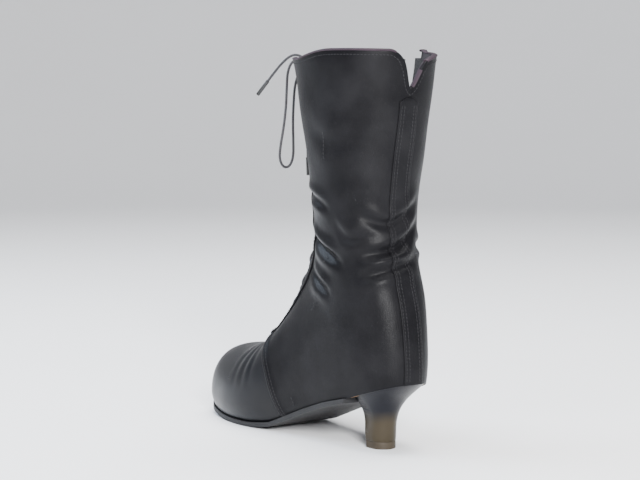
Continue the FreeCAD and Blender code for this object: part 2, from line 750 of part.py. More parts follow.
INNER_END = [(2.2, 2.2, -1.2), (5.2, 6.4, -3.6), (7.2, 9.8, -11.0), (6.0, 11.0, -23.0), (3.4, 10.2, -40.0),
             (2.2, 9.4, -57.0), (2.6, 9.0, -74.0)]
cord("outer_loop", OUTER_LOOP, num("lace"))
cord("inner_loop", INNER_LOOP, num("lace"))
ends = [cord("outer_end", OUTER_END, num("lace")), cord("inner_end", INNER_END, num("lace"))]
tag_bore = size("lace") / 2 + 0.02
tag = turned("tag", [(0, 0), (size("tag_radius"), 0), (size("tag_radius"), size("tag_length")),
                     (0, size("tag_length"))])
tag.Label = "tag_pattern"
for label, line in (("outer_tag", ends[0]), ("inner_tag", ends[1])):
    course = line[-1] - line[-2]
    solid = tag.Shape.copy()
    solid.Placement = facing(line[-1], course, V(1, 0, 0))
    feature(label, solid)

# ------------------------------------------------------------------------------- the bottom
FLOOR = LINING[1] - GAP
BOARD = num("filler_thick")
FOAM = BOARD + num("board_thick")
SOCK = FOAM + num("foam_thick")
SEAT_LEVEL = up(53)
SOLE_BACK = along(9.5)


def half_at(depth, y, side):
    """Half width of the form at the feather line."""
    z = feather(y)
    hit = Part.makeLine(V(0, y, z), V(side * 90, y, z)).common(form(depth))
    return max(abs(v.X) for v in hit.Vertexes)


def inner_layer(low, high, back=-300.0, front=300.0):
    """A layer of the insole, inside the lining, between two levels above the feather line."""
    slab = feather_slab(low, high).common(Part.makeBox(400, front - back, 400, V(-200, back, -100)))
    return form(FLOOR).common(slab)


edge = num("sole_edge")
stations = [SOLE_BACK + (along(209) - SOLE_BACK) * k / 16 for k in range(17)]
left = [V(-half_at(edge, y, -1), y, -60) for y in stations]
right = [V(half_at(edge, y, 1), y, -60) for y in stations]
toe = V(RIBS[1][4], along(212.5) + edge * 0.6, -60)
rim = Part.BSplineCurve()
rim.interpolate(Points=left + [toe] + list(reversed(right)))
sole_plan = Part.Wire([rim.toShape(), Part.LineSegment(right[0], left[0]).toShape()])
sole = Part.Face(sole_plan).extrude(V(0, 0, 200)).common(feather_slab(-num("sole_thick"), 0))
feature("outsole", sole)

rivet_places = [V(0, along(y), 0) for y in (6 + 14, 76)]
head = size("rivet_radius") + 1.0
rise = Size(FOAM - 0.1, repr(round(FOAM - 0.1, 4)))
rivet = turned("rivet", [(0, 0), (size("rivet_radius"), 0), (size("rivet_radius"), rise - 0.7),
                         (head, rise - 0.7), (head, rise), (0, rise)])


def slope(y):
    """Tilt of the feather line at y, as a rotation about X."""
    return math.degrees(math.atan2(feather(y + 2) - feather(y - 2), 4))


rivet_spots = [FreeCAD.Placement(V(0, p.y, feather(p.y) + 0.1), FreeCAD.Rotation(V(1, 0, 0), slope(p.y)))
               for p in rivet_places]
screw_y = along(-2)
screw_top = feather(screw_y + num("heel_screw_head")) + FOAM - 0.6
screw = turned("screw", [(0, 0), (size("heel_screw_radius"), 0),
                         (size("heel_screw_radius"), size("heel_screw_length")),
                         (size("heel_screw_head"), size("heel_screw_length") + 1.6),
                         (size("heel_screw_head"), size("heel_screw_length") + 2.2),
                         (0, size("heel_screw_length") + 2.2)])
screw_spot = FreeCAD.Placement(V(0, screw_y, screw_top - num("heel_screw_length") - 2.2), FreeCAD.Rotation())
nail = turned("nail", [(0, 0), (size("nail_radius"), 0), (size("nail_radius"), size("nail_length") - 0.8),
                       (size("nail_radius") * 2, size("nail_length") - 0.8),
                       (size("nail_radius") * 2, size("nail_length")), (0, size("nail_length"))])
nail_spots = []
for y in (along(-12), along(3)):
    for side in (-1, 1):
        top = feather(y) + FOAM - 0.8
        nail_spots.append(FreeCAD.Placement(V(side * num("nail_spread"), y, top - num("nail_length")),
                                            FreeCAD.Rotation()))


def hole(radius, spot, length, wide=0.0, wide_at=0.0):
    """The space of a fastener with its fit, carried up past its head."""
    fit = num("fit")
    shape = Part.makeCylinder(radius + fit, length + fit, V(0, 0, -fit))
    if wide:
        shape = shape.fuse(Part.makeCylinder(wide + fit, 30, V(0, 0, wide_at - fit)))
    shape.Placement = spot
    return shape


rivet_holes = [hole(num("rivet_radius"), spot, 6, num("rivet_radius") + 1.0, rise.value - 0.7)
               for spot in rivet_spots]
screw_hole = hole(num("heel_screw_radius"), screw_spot, num("heel_screw_length") + 2.2,
                  num("heel_screw_head"), num("heel_screw_length"))
nail_holes = [hole(num("nail_radius"), spot, num("nail_length"), 2 * num("nail_radius"),
                   num("nail_length") - 0.8) for spot in nail_spots]
fasteners = Part.makeCompound(rivet_holes + [screw_hole] + nail_holes)
rivets = copies("shank_rivets", rivet, rivet_spots)
node(screw, "heel_screw").Placement = screw_spot
copies("heel_nails", nail, nail_spots)

shank_box = Part.makeBox(num("shank_width"), num("shank_length"), 300,
                         V(-num("shank_width") / 2, along(2), -100))
shank_room = Part.makeBox(num("shank_width") + 1, num("shank_length") + 1, 300,
                          V(-num("shank_width") / 2 - 0.5, along(2) - 0.5, -100))
shank = feather_slab(0.1, 0.1 + num("shank_thick")).common(shank_box)
feature("shank", shank.cut(fasteners))
feature("bottom_filler", inner_layer(0, BOARD).cut(shank_room).cut(fasteners))
feature("insole_board", inner_layer(BOARD, FOAM).cut(fasteners))
feature("insole_foam", inner_layer(FOAM, SOCK).cut(rivets.Shape))
feature("sock_lining", inner_layer(SOCK, SOCK + num("sock_thick")))

# ------------------------------------------------------------------------------- the heel
# Rings of the heel: share of the way up to the seat, and share of the way from the tip's back, front
# and half width to the seat's.
SEAT_HALF = half_at(0.0, along(2), 1) - num("cover_thick")
SEAT_BACK = along(-35)
HEEL_RINGS = [(0, 0, 0, 0), (0.2, 0.02, 0.3, 0.03), (0.48, 0.13, 0.8, 0.12), (0.66, 0.32, 0.9, 0.45),
              (0.8, 0.58, 1, 0.8), (1, 1, 1, 1)]
DATUM = 60.0


def heel_body(name, grow, base):
    """The heel's outside, grown by a Size, as a loft of D-shaped rings that stand on the tip."""
    body = new_body(name)
    body.Placement = FreeCAD.Placement(V(0, -DATUM, 0), FreeCAD.Rotation())
    seat_back, seat_front, seat_half = SEAT_BACK, SOLE_BACK - 0.4, SEAT_HALF
    rings = []
    for k, (lift, back_share, front_share, half_share) in enumerate(HEEL_RINGS):
        level = size(base) + Size((SEAT_LEVEL - num("tip_thick")) * lift,
                                  repr(round((SEAT_LEVEL - num("tip_thick")) * lift, 4)))
        back = size("tip_back") * -1 * (1 - back_share) + seat_back * back_share - grow + DATUM
        front = size("tip_front") * (1 - front_share) + seat_front * front_share + grow + DATUM
        half = size("tip_half") * (1 - half_share) + seat_half * half_share + grow
        rings.append(d_ring(body, "%s_ring_%d" % (name, k), level, back, front, half))
    loft = body.newObject("PartDesign::AdditiveLoft", name + "_loft")
    loft.Profile = rings[0]
    loft.Sections = rings[1:]
    doc.recompute()
    return body


def d_ring(body, name, level, back, front, half):
    """A D: a half circle behind and a straight breast in front."""
    sketch = new_sketch(body, name, "XY_Plane", level)
    middle = back + half
    r, m, f = half.value, middle.value, front.value
    circle = Part.Circle(V(0, m, 0), V(0, 0, 1), r)
    sketch.addGeometry(Part.ArcOfCircle(circle, math.pi, 2 * math.pi))
    corners = [V(r, m, 0), V(r, f, 0), V(-r, f, 0), V(-r, m, 0)]
    for a, b in zip(corners, corners[1:]):
        sketch.addGeometry(Part.LineSegment(a, b))
    for a, b in ((0, 1), (1, 2), (2, 3), (3, 0)):
        sketch.addConstraint(Sketcher.Constraint("Coincident", a, 2, b, 1))
    sketch.addConstraint(Sketcher.Constraint("Vertical", 1))
    sketch.addConstraint(Sketcher.Constraint("Vertical", 3))
    sketch.addConstraint(Sketcher.Constraint("Horizontal", 2))
    sketch.addConstraint(Sketcher.Constraint("PointOnObject", 0, 3, -2))
    sketch.addConstraint(Sketcher.Constraint("Horizontal", 0, 1, 0, 3))
    bind(sketch, "Radius", 0, half)
    bind(sketch, "DistanceY", -1, 1, 0, 3, middle)
    bind(sketch, "DistanceY", -1, 1, 2, 1, front)
    return sketch


zero = Size(0.0, "0")
above_seat = Part.makeBox(400, 400, 400, V(-200, -200, -100)).cut(feather_slab(-100, 0))
dowel_foot = size("tip_thick") - 2.0
dowel_top = dowel_foot.value + num("dowel_length")
dowel_room = Part.makeCylinder(num("dowel_radius") + num("fit"), dowel_top + 10 + num("fit"), V(0, 0, -10))
core = heel_body("heel_core", zero, "tip_thick")
room = heel_body("heel_room", size("fit") * 1, "tip_thick")
skin = heel_body("heel_skin", size("cover_thick"), "tip_thick")
front_of_heel = Part.makeBox(400, 200, 400, V(-200, SOLE_BACK, -100))
cut_by("heel_block", core, [above_seat, dowel_room, screw_hole] + nail_holes)
room.Label = "heel_cover_room"
cut_by("heel_cover", skin, [above_seat, room.Shape.copy(), front_of_heel, screw_hole] + nail_holes)

tip = new_body("top_piece")
tip.Placement = FreeCAD.Placement(V(0, -DATUM, 0), FreeCAD.Rotation())
tip_ring = d_ring(tip, "tip_ring", zero, size("tip_back") * -1 + DATUM - size("cover_thick"),
                  size("tip_front") + DATUM + size("cover_thick"), size("tip_half") + size("cover_thick"))
tip_pad = tip.newObject("PartDesign::Pad", "tip_pad")
tip_pad.Profile = tip_ring
tip_pad.Length = num("tip_thick")
tip_pad.setExpression("Length", "sizes.tip_thick")
doc.recompute()
tip_bore = Part.makeCylinder(num("dowel_radius") + num("fit"), 60, V(0, 0, dowel_foot.value - num("fit")))
cut_by("top_piece", tip, [tip_bore])
dowel = turned("tip_dowel", [(0, 0), (size("dowel_radius"), 0), (size("dowel_radius"), size("dowel_length")),
                             (0, size("dowel_length"))])
node(dowel, "tip_dowel").Placement = FreeCAD.Placement(V(0, 0, dowel_foot.value), FreeCAD.Rotation())

# ------------------------------------------------------------------------------- the zip
for side, label, tape in ((1, "front", tape_strips[0]), (-1, "rear", tape_strips[1])):
    feature("zip_tape_" + label, tape)
    gap = num("tooth_gap") / 2
    feature("zip_teeth_" + label, zip_strip(gap, gap + num("tooth_width"), TAPE_OUT,
                                            num("tooth_thick"), side))


def zip_block(x, y, s):
    """A block in the zip's frame, from its three spans (out, across, up the track)."""
    block = Part.makeBox(x[1] - x[0], y[1] - y[0], s[1] - s[0], V(x[0], y[0], s[0]))
    block.Placement = ZIP_FRAME
    return block


TEETH_TOP = TAPE_OUT + num("tooth_thick")
gap = num("tooth_gap") / 2
stop_wide = gap + num("tooth_width") + 1.0
feature("zip_bottom_stop", zip_block((TAPE_OUT, TEETH_TOP), (-stop_wide, stop_wide),
                                     (-num("stop_long") - 0.1, -0.1)))
stops = []
for side in (-1, 1):
    inside = gap + spread(ZIP_LONG) - 0.2
    span = sorted((side * inside, side * (inside + num("tooth_width") + 0.6)))
    stops.append(zip_block((TAPE_OUT, TEETH_TOP), span, (ZIP_LONG + 0.1, ZIP_LONG + 2.6)))
feature("zip_top_stops", Part.makeCompound(stops), whole=False)

# the slider stands where the zip parts: two plates round the teeth, a post in the crotch between the
# open halves, and an eye on top that holds the pull
half_long = num("slider_length") / 2
half_wide = num("slider_width") / 2
plate, play = num("slider_plate"), num("slider_clearance")
low_plate = (TAPE_BACK - play - plate, TAPE_BACK - play)
top_plate = (TEETH_TOP + play, TEETH_TOP + play + plate)
s_low, s_high = ZIP_OPEN - half_long, ZIP_OPEN + half_long
PIN_X = top_plate[1] + num("bail_lift")
PIN_S = ZIP_OPEN - 0.5
slider = zip_block(top_plate, (-half_wide, half_wide), (s_low, s_high))
slider = slider.fuse(zip_block(low_plate, (-half_wide, half_wide), (s_low, s_high)))
slider = slider.fuse(zip_block((low_plate[0], top_plate[1]),
                               (-num("post_thick") / 2, num("post_thick") / 2), (s_high - 3.5, s_high)))
eye_high = PIN_X + num("pin_radius") + 0.9
bail = zip_block((top_plate[1], eye_high), (-num("bail_width") / 2, num("bail_width") / 2),
                 (PIN_S - num("bail_length") / 2, PIN_S + num("bail_length") / 2))
bail = bail.makeFillet(0.8, [e for e in bail.Edges if abs(e.Length - num("bail_width")) < 1e-6
                             and (ZIP_FRAME.inverse().multVec(e.CenterOfMass)).x > PIN_X])


def pin(radius, half):
    body = Part.makeCylinder(radius, 2 * half, V(PIN_X, -half, PIN_S), V(0, 1, 0))
    body.Placement = ZIP_FRAME
    return body


slider = slider.fuse(bail).cut(pin(num("pin_radius") + num("pin_clearance"), 10)).removeSplitter()
feature("zip_slider", slider)
arm_in = num("bail_width") / 2 + 0.2
arm_out = num("tab_width") / 2 - 0.4
thick = num("tab_thick") / 2
pull = pin(num("pin_radius"), arm_out)
arm_end = PIN_S - num("bail_length") / 2 - 1.2
for side in (-1, 1):
    span = sorted((side * arm_in, side * arm_out))
    pull = pull.fuse(zip_block((PIN_X - thick, PIN_X + thick), span, (arm_end - 1, PIN_S + 1.0)))
tab = zip_block((PIN_X - thick, PIN_X + thick), (-num("tab_width") / 2, num("tab_width") / 2),
                (arm_end - num("tab_length"), arm_end))
tab = tab.makeFillet(1.6, [e for e in tab.Edges if abs(e.Length - num("tab_thick")) < 1e-6])
feature("zip_pull", pull.fuse(tab).removeSplitter())

# ------------------------------------------------------------------------------- checks and files
doc.recompute()
for item in doc.Objects:
    if "Invalid" in item.State or "Error" in item.State:
        raise ValueError(item.Name + " failed")
names = [item.Label for item in NODES]
if len(set(names)) != len(names):
    raise ValueError("two pieces share a name")
os.makedirs("parts", exist_ok=True)
for item in NODES:
    if item.Shape.isNull() or not item.Shape.isValid():
        raise ValueError(item.Label + " has no valid shape")
    item.Shape.exportStep("parts/%s.step" % item.Label)
print("zip frame: foot %s, up %s, out %s, slider at %s, pin at %s"
      % (zip_foot, ZIP_UP, ZIP_OUT, ZIP_FRAME.multVec(V(0, 0, ZIP_OPEN)),
         ZIP_FRAME.multVec(V(PIN_X, 0, PIN_S))))
print("knot at", knot_middle, "eyelet pitch", PITCH)
print(len(NODES), "pieces")
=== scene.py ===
import math

import bmesh
import bpy
import numpy as np
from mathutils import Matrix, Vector


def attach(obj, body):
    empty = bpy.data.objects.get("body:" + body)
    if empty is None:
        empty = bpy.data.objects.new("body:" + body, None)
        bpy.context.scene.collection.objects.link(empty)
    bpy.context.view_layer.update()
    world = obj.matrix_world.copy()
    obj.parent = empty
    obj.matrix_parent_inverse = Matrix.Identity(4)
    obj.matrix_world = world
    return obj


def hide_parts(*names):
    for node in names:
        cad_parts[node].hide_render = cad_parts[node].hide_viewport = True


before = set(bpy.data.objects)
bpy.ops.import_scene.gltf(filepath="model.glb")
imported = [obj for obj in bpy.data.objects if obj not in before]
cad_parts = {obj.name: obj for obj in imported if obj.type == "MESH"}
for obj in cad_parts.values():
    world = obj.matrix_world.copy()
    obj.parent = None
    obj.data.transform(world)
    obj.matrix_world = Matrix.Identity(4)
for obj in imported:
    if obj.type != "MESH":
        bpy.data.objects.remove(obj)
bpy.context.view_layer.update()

bl_info = {
    "name": "Laced ankle boot",
    "version": (1, 0, 0),
    "blender": (4, 5, 0),
    "location": "View3D > Sidebar > Boot",
    "description": "Builds the leather, laces, zip and heel of a laced ankle boot round its CAD frame",
    "category": "Object",
}

MM = 0.001
SHARP_EDGE = math.radians(30)

# ------------------------------------------------------------------------------- the form
# Millimetres.  Each rib: upper and lower point in side view (y, z), half widths on the outer and the
# inner side, lean of its middle, and how far up it is widest.
RIBS = [
    ((212.5, 28), (212.5, 19), 3, 3, 3, .5),
    ((211, 38), (210.5, 9), 13, 13, 3, .45),
    ((206, 47), (207, 3), 22, 21, 3.5, .42),
    ((195, 55), (198.5, -2), 30, 29, 4, .40),
    ((178, 60), (184, -5), 37, 36, 4, .38),
    ((154, 63), (162, -6), 43, 41, 3, .36),
    ((128, 71), (137, -6), 45, 43.5, 1.5, .36),
    ((106, 87), (110, -4), 42, 40.5, 0, .38),
    ((91, 106), (72, 4), 37.5, 37, 0, .42),
    ((80, 125), (30, 10), 35, 35, 0, .45),
    ((74, 138), (-7, 14), 34.2, 34, 0, .47),
    ((70, 150), (-35, 36), 33.6, 33.4, 0, .48),
    ((67, 160), (-36.5, 80), 33, 33, 0, .5),
    ((66, 172), (-31, 112), 33, 33, 0, .5),
    ((65.5, 184), (-21, 140), 34.4, 34.4, 0, .5),
    ((67, 202), (-17, 168), 36.8, 36.8, 0, .5),
    ((71.5, 228), (-21.5, 206), 40, 40, 0, .5),
    ((77.5, 258), (-29, 248), 43.5, 43.5, 0, .5),
    ((86.5, 298), (-37.5, 306), 48, 48, 0, .5),
]
POINTS = 24
ROUNDNESS = 2 / 2.25
ROWS_FINE, ROUND_FINE = 9, 10

# layers of the wall, as depths outside (+) or inside (-) the leather's outer face
LEATHER = (0.0, -1.4)
LINING = (-2.9, -3.8)
TONGUE = (-7.8, -9.1)
THROAT = 8.0
FACING = 15.0
BACKSTAY = 8.0
LACE = 2.0
COLLAR = [(140, 284), (81, 290), (66, 291), (50, 290), (35, 293), (14, 297), (-20, 297), (-60, 295)]
FEATHER = [(-70, 60), (-35, 52.5), (10, 38.5), (35, 32.5), (62, 23.5), (105, 6.8), (130, 3.8),
           (165, 3.8), (195, 7), (240, 20)]
VAMP = [(84, -30), (88, 22), (96, 44), (106, 62), (113, 76), (122, 96), (140, 104)]
NOTCH_FOOT, NOTCH_DEPTH, NOTCH_HALF = 266.0, 31.0, 10.0
NOTCH = [(0, 0), (-0.3, 0.3), (-0.62, 0.66), (-1.1, 0.87), (-2.0, 1.02), (-2.0, 4), (6, 4), (5.5, 0.98),
         (3.2, 0.86), (1.7, 0.76), (1.15, 0.66), (0.55, 0.24)]


def lerp(a, b, t):
    return [p + (q - p) * t for p, q in zip(a, b)]


def smooth_rows(rows):
    """Rows between the ribs, on a curve through them."""
    def gap(a, b):
        return (math.hypot(a[0] - b[0], a[1] - b[1]) + math.hypot(a[2] - b[2], a[3] - b[3])) ** 0.5

    ends = [lerp(rows[1], rows[0], 2)] + rows + [lerp(rows[-2], rows[-1], 2)]
    out = []
    for k in range(len(rows) - 1):
        p0, p1, p2, p3 = ends[k:k + 4]
        t1 = gap(p0, p1)
        t2 = t1 + gap(p1, p2)
        t3 = t2 + gap(p2, p3)
        for t in (t1, (t1 + t2) / 2):
            a1, a2 = lerp(p0, p1, t / t1), lerp(p1, p2, (t - t1) / (t2 - t1))
            a3 = lerp(p2, p3, (t - t2) / (t3 - t2))
            b1, b2 = lerp(a1, a2, t / t2), lerp(a2, a3, (t - t1) / (t3 - t1))
            out.append(lerp(b1, b2, (t - t1) / (t2 - t1)))
    return out + [rows[-1]]


def ring(row):
    ty, tz, by, bz, outer, inner, lean, widest = row
    low = np.array([0.0, by, bz])
    rise = np.array([0.0, ty, tz]) - low
    height = np.linalg.norm(rise)
    rise /= height
    turn = 2 * np.pi * np.arange(POINTS) / POINTS
    side, lift = -np.sin(turn), -np.cos(turn)
    wide = np.where(side < 0, outer, inner)
    tall = np.where(lift > 0, height * (1 - widest), height * widest)
    across = lean + np.sign(side) * np.abs(side) ** ROUNDNESS * wide
    along = np.sign(lift) * np.abs(lift) ** ROUNDNESS * tall
    points = low + rise * (height * widest + along[:, None])
    points[:, 0] = across
    return points


ROWS = smooth_rows([[*top, *low, outer, inner, lean, widest]
                    for top, low, outer, inner, lean, widest in RIBS])
NET = np.array([ring(row) for row in ROWS])
LAST = len(NET) - 3.0


def clamped_weights(count, t):
    """Cubic B-spline weights of count control rows, with both ends clamped."""
    knots = np.concatenate([[0] * 3, np.arange(count - 2), [count - 3] * 3]).astype(float)
    t = np.clip(t, 0, count - 3 - 1e-9)
    weights = np.where((t[:, None] >= knots[:-1]) & (t[:, None] < knots[1:]), 1.0, 0.0)
    for degree in (1, 2, 3):
        left = knots[degree:-1] - knots[:-degree - 1]
        right = knots[degree + 1:] - knots[1:-degree]
        a = np.where(left > 0, (t[:, None] - knots[:-degree - 1]) / np.where(left > 0, left, 1), 0)
        b = np.where(right > 0, (knots[degree + 1:] - t[:, None]) / np.where(right > 0, right, 1), 0)
        weights = a * weights[:, :-1] + b * weights[:, 1:]
    return weights


def round_weights(count, t):
    """Cubic B-spline weights of count control points in a closed ring."""
    base = np.floor(t).astype(int)
    f = t - base
    parts = [(1 - f) ** 3 / 6, (3 * f ** 3 - 6 * f ** 2 + 4) / 6,
             (-3 * f ** 3 + 3 * f ** 2 + 3 * f + 1) / 6, f ** 3 / 6]
    weights = np.zeros((len(t), count))
    rows = np.arange(len(t))
    for k, part in enumerate(parts):
        np.add.at(weights, (rows, (base + k - 1) % count), part)
    return weights


def skin_at(u, v):
    """Points of the leather's outer face and their outward normals, at rows u and ring places v."""
    u, v = np.atleast_1d(np.asarray(u, float)), np.atleast_1d(np.asarray(v, float))
    step = 0.02

    def place(a, b):
        return np.einsum("ni,nj,ijc->nc", clamped_weights(len(NET), a), round_weights(POINTS, b), NET)

    point = place(u, v)
    along = place(np.minimum(u + step, LAST), v) - place(np.maximum(u - step, 0), v)
    across = place(u, v + step) - place(u, v - step)
    normal = np.cross(along, across)
    normal /= np.linalg.norm(normal, axis=1)[:, None]
    middle = place(u, v + POINTS / 2)
    turned = np.sum(normal * (point - middle), axis=1) < 0
    normal[turned] *= -1
    return point, normal


def on_skin(u, x, front=True):
    """The point and normal at a row u where the skin has a given x, in front or behind."""
    low, high = (POINTS / 4, 3 * POINTS / 4) if front else (-POINTS / 4, POINTS / 4)
    for _ in range(30):
        mid = (low + high) / 2
        if (skin_at(u, mid % POINTS)[0][0, 0] < x) == front:
            low = mid
        else:
            high = mid
    point, normal = skin_at(u, (low + high) / 2 % POINTS)
    return point[0], normal[0]


class Patch:
    """A piece of the skin: points, normals and places on the net, and faces."""

    def __init__(self, points, normals, places, faces):
        self.points, self.normals, self.places, self.faces = points, normals, places, faces


def base_patch():
    u = np.linspace(0, LAST, int(LAST) * ROWS_FINE + 1)
    v = np.arange(POINTS * ROUND_FINE) / ROUND_FINE
    wu, wv = clamped_weights(len(NET), u), round_weights(POINTS, v)
    grid = np.einsum("ui,vj,ijc->uvc", wu, wv, NET)
    along = np.gradient(grid, axis=0)
    across = np.roll(grid, -1, 1) - np.roll(grid, 1, 1)
    normals = np.cross(along, across)
    normals /= np.maximum(np.linalg.norm(normals, axis=2), 1e-9)[:, :, None]
    middle = grid.mean(axis=1)[:, None, :]
    if np.mean(np.sum(normals * (grid - middle), axis=2)) < 0:
        normals = -normals
    rows, ring_count = len(u), len(v)
    index = np.arange(rows * ring_count).reshape(rows, ring_count)
    after = np.roll(index, -1, 1)
    quads = np.stack([index[:-1], index[1:], after[1:], after[:-1]], axis=-1).reshape(-1, 4)
    a, b, c = (grid.reshape(-1, 3)[quads[:, k]] for k in (0, 1, 2))
    facing = np.sum(np.cross(b - a, c - b) * normals.reshape(-1, 3)[quads[:, 0]], axis=1)
    if np.mean(facing) < 0:
        quads = quads[:, ::-1]
    places = np.stack(np.meshgrid(u, v, indexing="ij"), axis=-1).reshape(-1, 2)
    tip = len(grid.reshape(-1, 3))
    points = np.vstack([grid.reshape(-1, 3), grid[0].mean(axis=0)])
    normals = np.vstack([normals.reshape(-1, 3), [[0, 1, 0]]])
    places = np.vstack([places, [[0, 6]]])
    faces = [tuple(q) for q in quads.tolist()]
    cap = [(int(index[0, (k + 1) % ring_count]), int(index[0, k]), tip) for k in range(ring_count)]
    one = cap[0]
    turn = np.cross(points[one[1]] - points[one[0]], points[one[2]] - points[one[1]])
    faces += cap if turn[1] > 0 else [c[::-1] for c in cap]
    return Patch(points, normals, places, faces)


# ------------------------------------------------------------------------------- fields that cut
def rounded_line(points, share=0.25, steps=8):
    """A polyline with its corners rounded, as dense points."""
    pts = np.array(points, float)
    out = [pts[0]]
    for a, b, c in zip(pts, pts[1:], pts[2:]):
        reach = share * min(np.linalg.norm(b - a), np.linalg.norm(c - b))
        p = b + (a - b) / np.linalg.norm(a - b) * reach
        q = b + (c - b) / np.linalg.norm(c - b) * reach
        for k in range(steps + 1):
            t = k / steps
            out.append((1 - t) ** 2 * p + 2 * t * (1 - t) * b + t * t * q)
    out.append(pts[-1])
    return np.array(out)


FEATHER_LINE = rounded_line(FEATHER)
COLLAR_LINE = rounded_line(COLLAR[::-1], 0.45)
VAMP_LINE = rounded_line(VAMP, 0.45)


def signed_distance(px, py, line):
    """Distance of points from a line, positive on its right as it runs."""
    best = np.full(len(px), 1e9)
    sign = np.ones(len(px))
    for (ax, ay), (bx, by) in zip(line[:-1], line[1:]):
        dx, dy = bx - ax, by - ay
        t = np.clip(((px - ax) * dx + (py - ay) * dy) / (dx * dx + dy * dy), 0, 1)
        ex, ey = px - (ax + t * dx), py - (ay + t * dy)
        d = np.hypot(ex, ey)
        closer = d < best
        best = np.where(closer, d, best)
        sign = np.where(closer, np.sign(dy * ex - dx * ey + 1e-12), sign)
    return best * sign


def above_feather(p):
    return p[:, 2] - np.interp(p[:, 1], FEATHER_LINE[:, 0], FEATHER_LINE[:, 1])


def below_collar(p):
    """How far below the collar's edge a point is, with the notch at the back."""
    edge = np.interp(p[:, 1], COLLAR_LINE[:, 0], COLLAR_LINE[:, 1])
    level = edge - p[:, 2]
    corners = [(x * NOTCH_HALF, NOTCH_FOOT + z * NOTCH_DEPTH) for x, z in NOTCH]
    right_side = np.array([c for c in corners[:1]] + corners[:5:-1])
    left_side = np.array(corners[:5])
    z_right = np.interp(p[:, 0], right_side[:, 0], right_side[:, 1])
    z_left = np.interp(-p[:, 0], -left_side[:, 0], left_side[:, 1])
    brim = np.where(p[:, 0] >= 0, z_right, z_left)
    line = np.vstack([left_side[::-1], right_side[1:]])
    near = signed_distance(p[:, 0], p[:, 2], rounded_line(line, 0.4))
    back = p[:, 1] < 6
    notch = np.where(brim >= NOTCH_FOOT + NOTCH_DEPTH * 0.99, 99.0, near)
    return np.where(back, np.minimum(level, notch), level)


def behind_vamp(p):
    return -signed_distance(p[:, 1], p[:, 2], VAMP_LINE)


def is_front(p):
    """True on the front half of the shaft and the instep."""
    edge = np.interp(p[:, 2], [50, 140, 200, 420], [70, 28, 20, 20])
    return p[:, 1] > edge


# ------------------------------------------------------------------------------- cutting a patch
def clip(patch, values):
    """Keeps the part where values are positive; the cut edge lies on their zero line."""
    f = np.asarray(values, float).copy()
    pts, nrm, plc = patch.points.copy(), patch.normals.copy(), patch.places.copy()
    sign = f > 0
    crossing = [face for face in patch.faces
                if any(sign[i] for i in face) and not all(sign[i] for i in face)]
    moves = {}
    for face in crossing:
        for a, b in zip(face, face[1:] + face[:1]):
            if sign[a] != sign[b]:
                t = f[a] / (f[a] - f[b])
                if t < 0.3 and (a not in moves or moves[a][1] > t):
                    moves[a] = (b, t)
                if t > 0.7 and (b not in moves or moves[b][1] > 1 - t):
                    moves[b] = (a, 1 - t)
    old = pts.copy(), nrm.copy(), plc.copy()
    for a, (b, t) in moves.items():
        pts[a] = old[0][a] * (1 - t) + old[0][b] * t
        nrm[a] = old[1][a] * (1 - t) + old[1][b] * t
        if abs(old[2][a][1] - old[2][b][1]) < 5:
            plc[a] = old[2][a] * (1 - t) + old[2][b] * t
    for a in moves:
        f[a] = 0.0
    new_points, new_normals, new_places = [], [], []
    made = {}
    count = len(pts)

    def cut(a, b):
        key = (min(a, b), max(a, b))
        if key not in made:
            t = f[key[0]] / (f[key[0]] - f[key[1]])
            new_points.append(pts[key[0]] * (1 - t) + pts[key[1]] * t)
            new_normals.append(nrm[key[0]] * (1 - t) + nrm[key[1]] * t)
            near = abs(plc[key[0]][1] - plc[key[1]][1]) < 5
            new_places.append(plc[key[0]] * (1 - t) + plc[key[1]] * t if near else plc[key[0]])
            made[key] = count + len(new_points) - 1
        return made[key]

    faces = []
    for face in patch.faces:
        values_here = [f[i] for i in face]
        if min(values_here) >= 0:
            if max(values_here) > 0:
                faces.append(face)
            continue
        if max(values_here) <= 0:
            continue
        out = []
        for a, b in zip(face, face[1:] + face[:1]):
            if f[a] >= 0:
                out.append(a)
            if f[a] * f[b] < 0:
                out.append(cut(a, b))
        if len(out) >= 3:
            faces.append(tuple(out))
    if new_points:
        pts = np.vstack([pts, new_points])
        nrm = np.vstack([nrm, new_normals])
        plc = np.vstack([plc, new_places])
    on_line = {i for i in range(count) if f[i] == 0} | set(made.values())
    used = sorted({i for face in faces for i in face})
    renumber = {old_index: k for k, old_index in enumerate(used)}
    nrm = nrm[used] / np.linalg.norm(nrm[used], axis=1)[:, None]
    result = Patch(pts[used], nrm, plc[used], [tuple(renumber[i] for i in face) for face in faces])
    result.fresh = {renumber[i] for i in on_line if i in renumber}
    return result


def open_edges(patch):
    """Boundary edges, each as it runs in its own face."""
    seen = {}
    for face in patch.faces:
        for a, b in zip(face, face[1:] + face[:1]):
            key = (min(a, b), max(a, b))
            seen[key] = None if key in seen else (a, b)
    return [edge for edge in seen.values() if edge]


def chains(edges):
    """Edges joined end to end into runs of point numbers."""
    after = {}
    for a, b in edges:
        after.setdefault(a, []).append(b)
        after.setdefault(b, []).append(a)
    left = {(min(a, b), max(a, b)) for a, b in edges}
    runs = []
    while left:
        ends = [i for i in after if sum((min(i, j), max(i, j)) in left for j in after[i]) == 1]
        start = min(ends) if ends else min(left)[0]
        run = [start]
        while True:
            here = run[-1]
            step = [j for j in after[here] if (min(here, j), max(here, j)) in left]
            if not step:
                break
            left.discard((min(here, step[0]), max(here, step[0])))
            run.append(step[0])
        runs.append(run)
    return runs


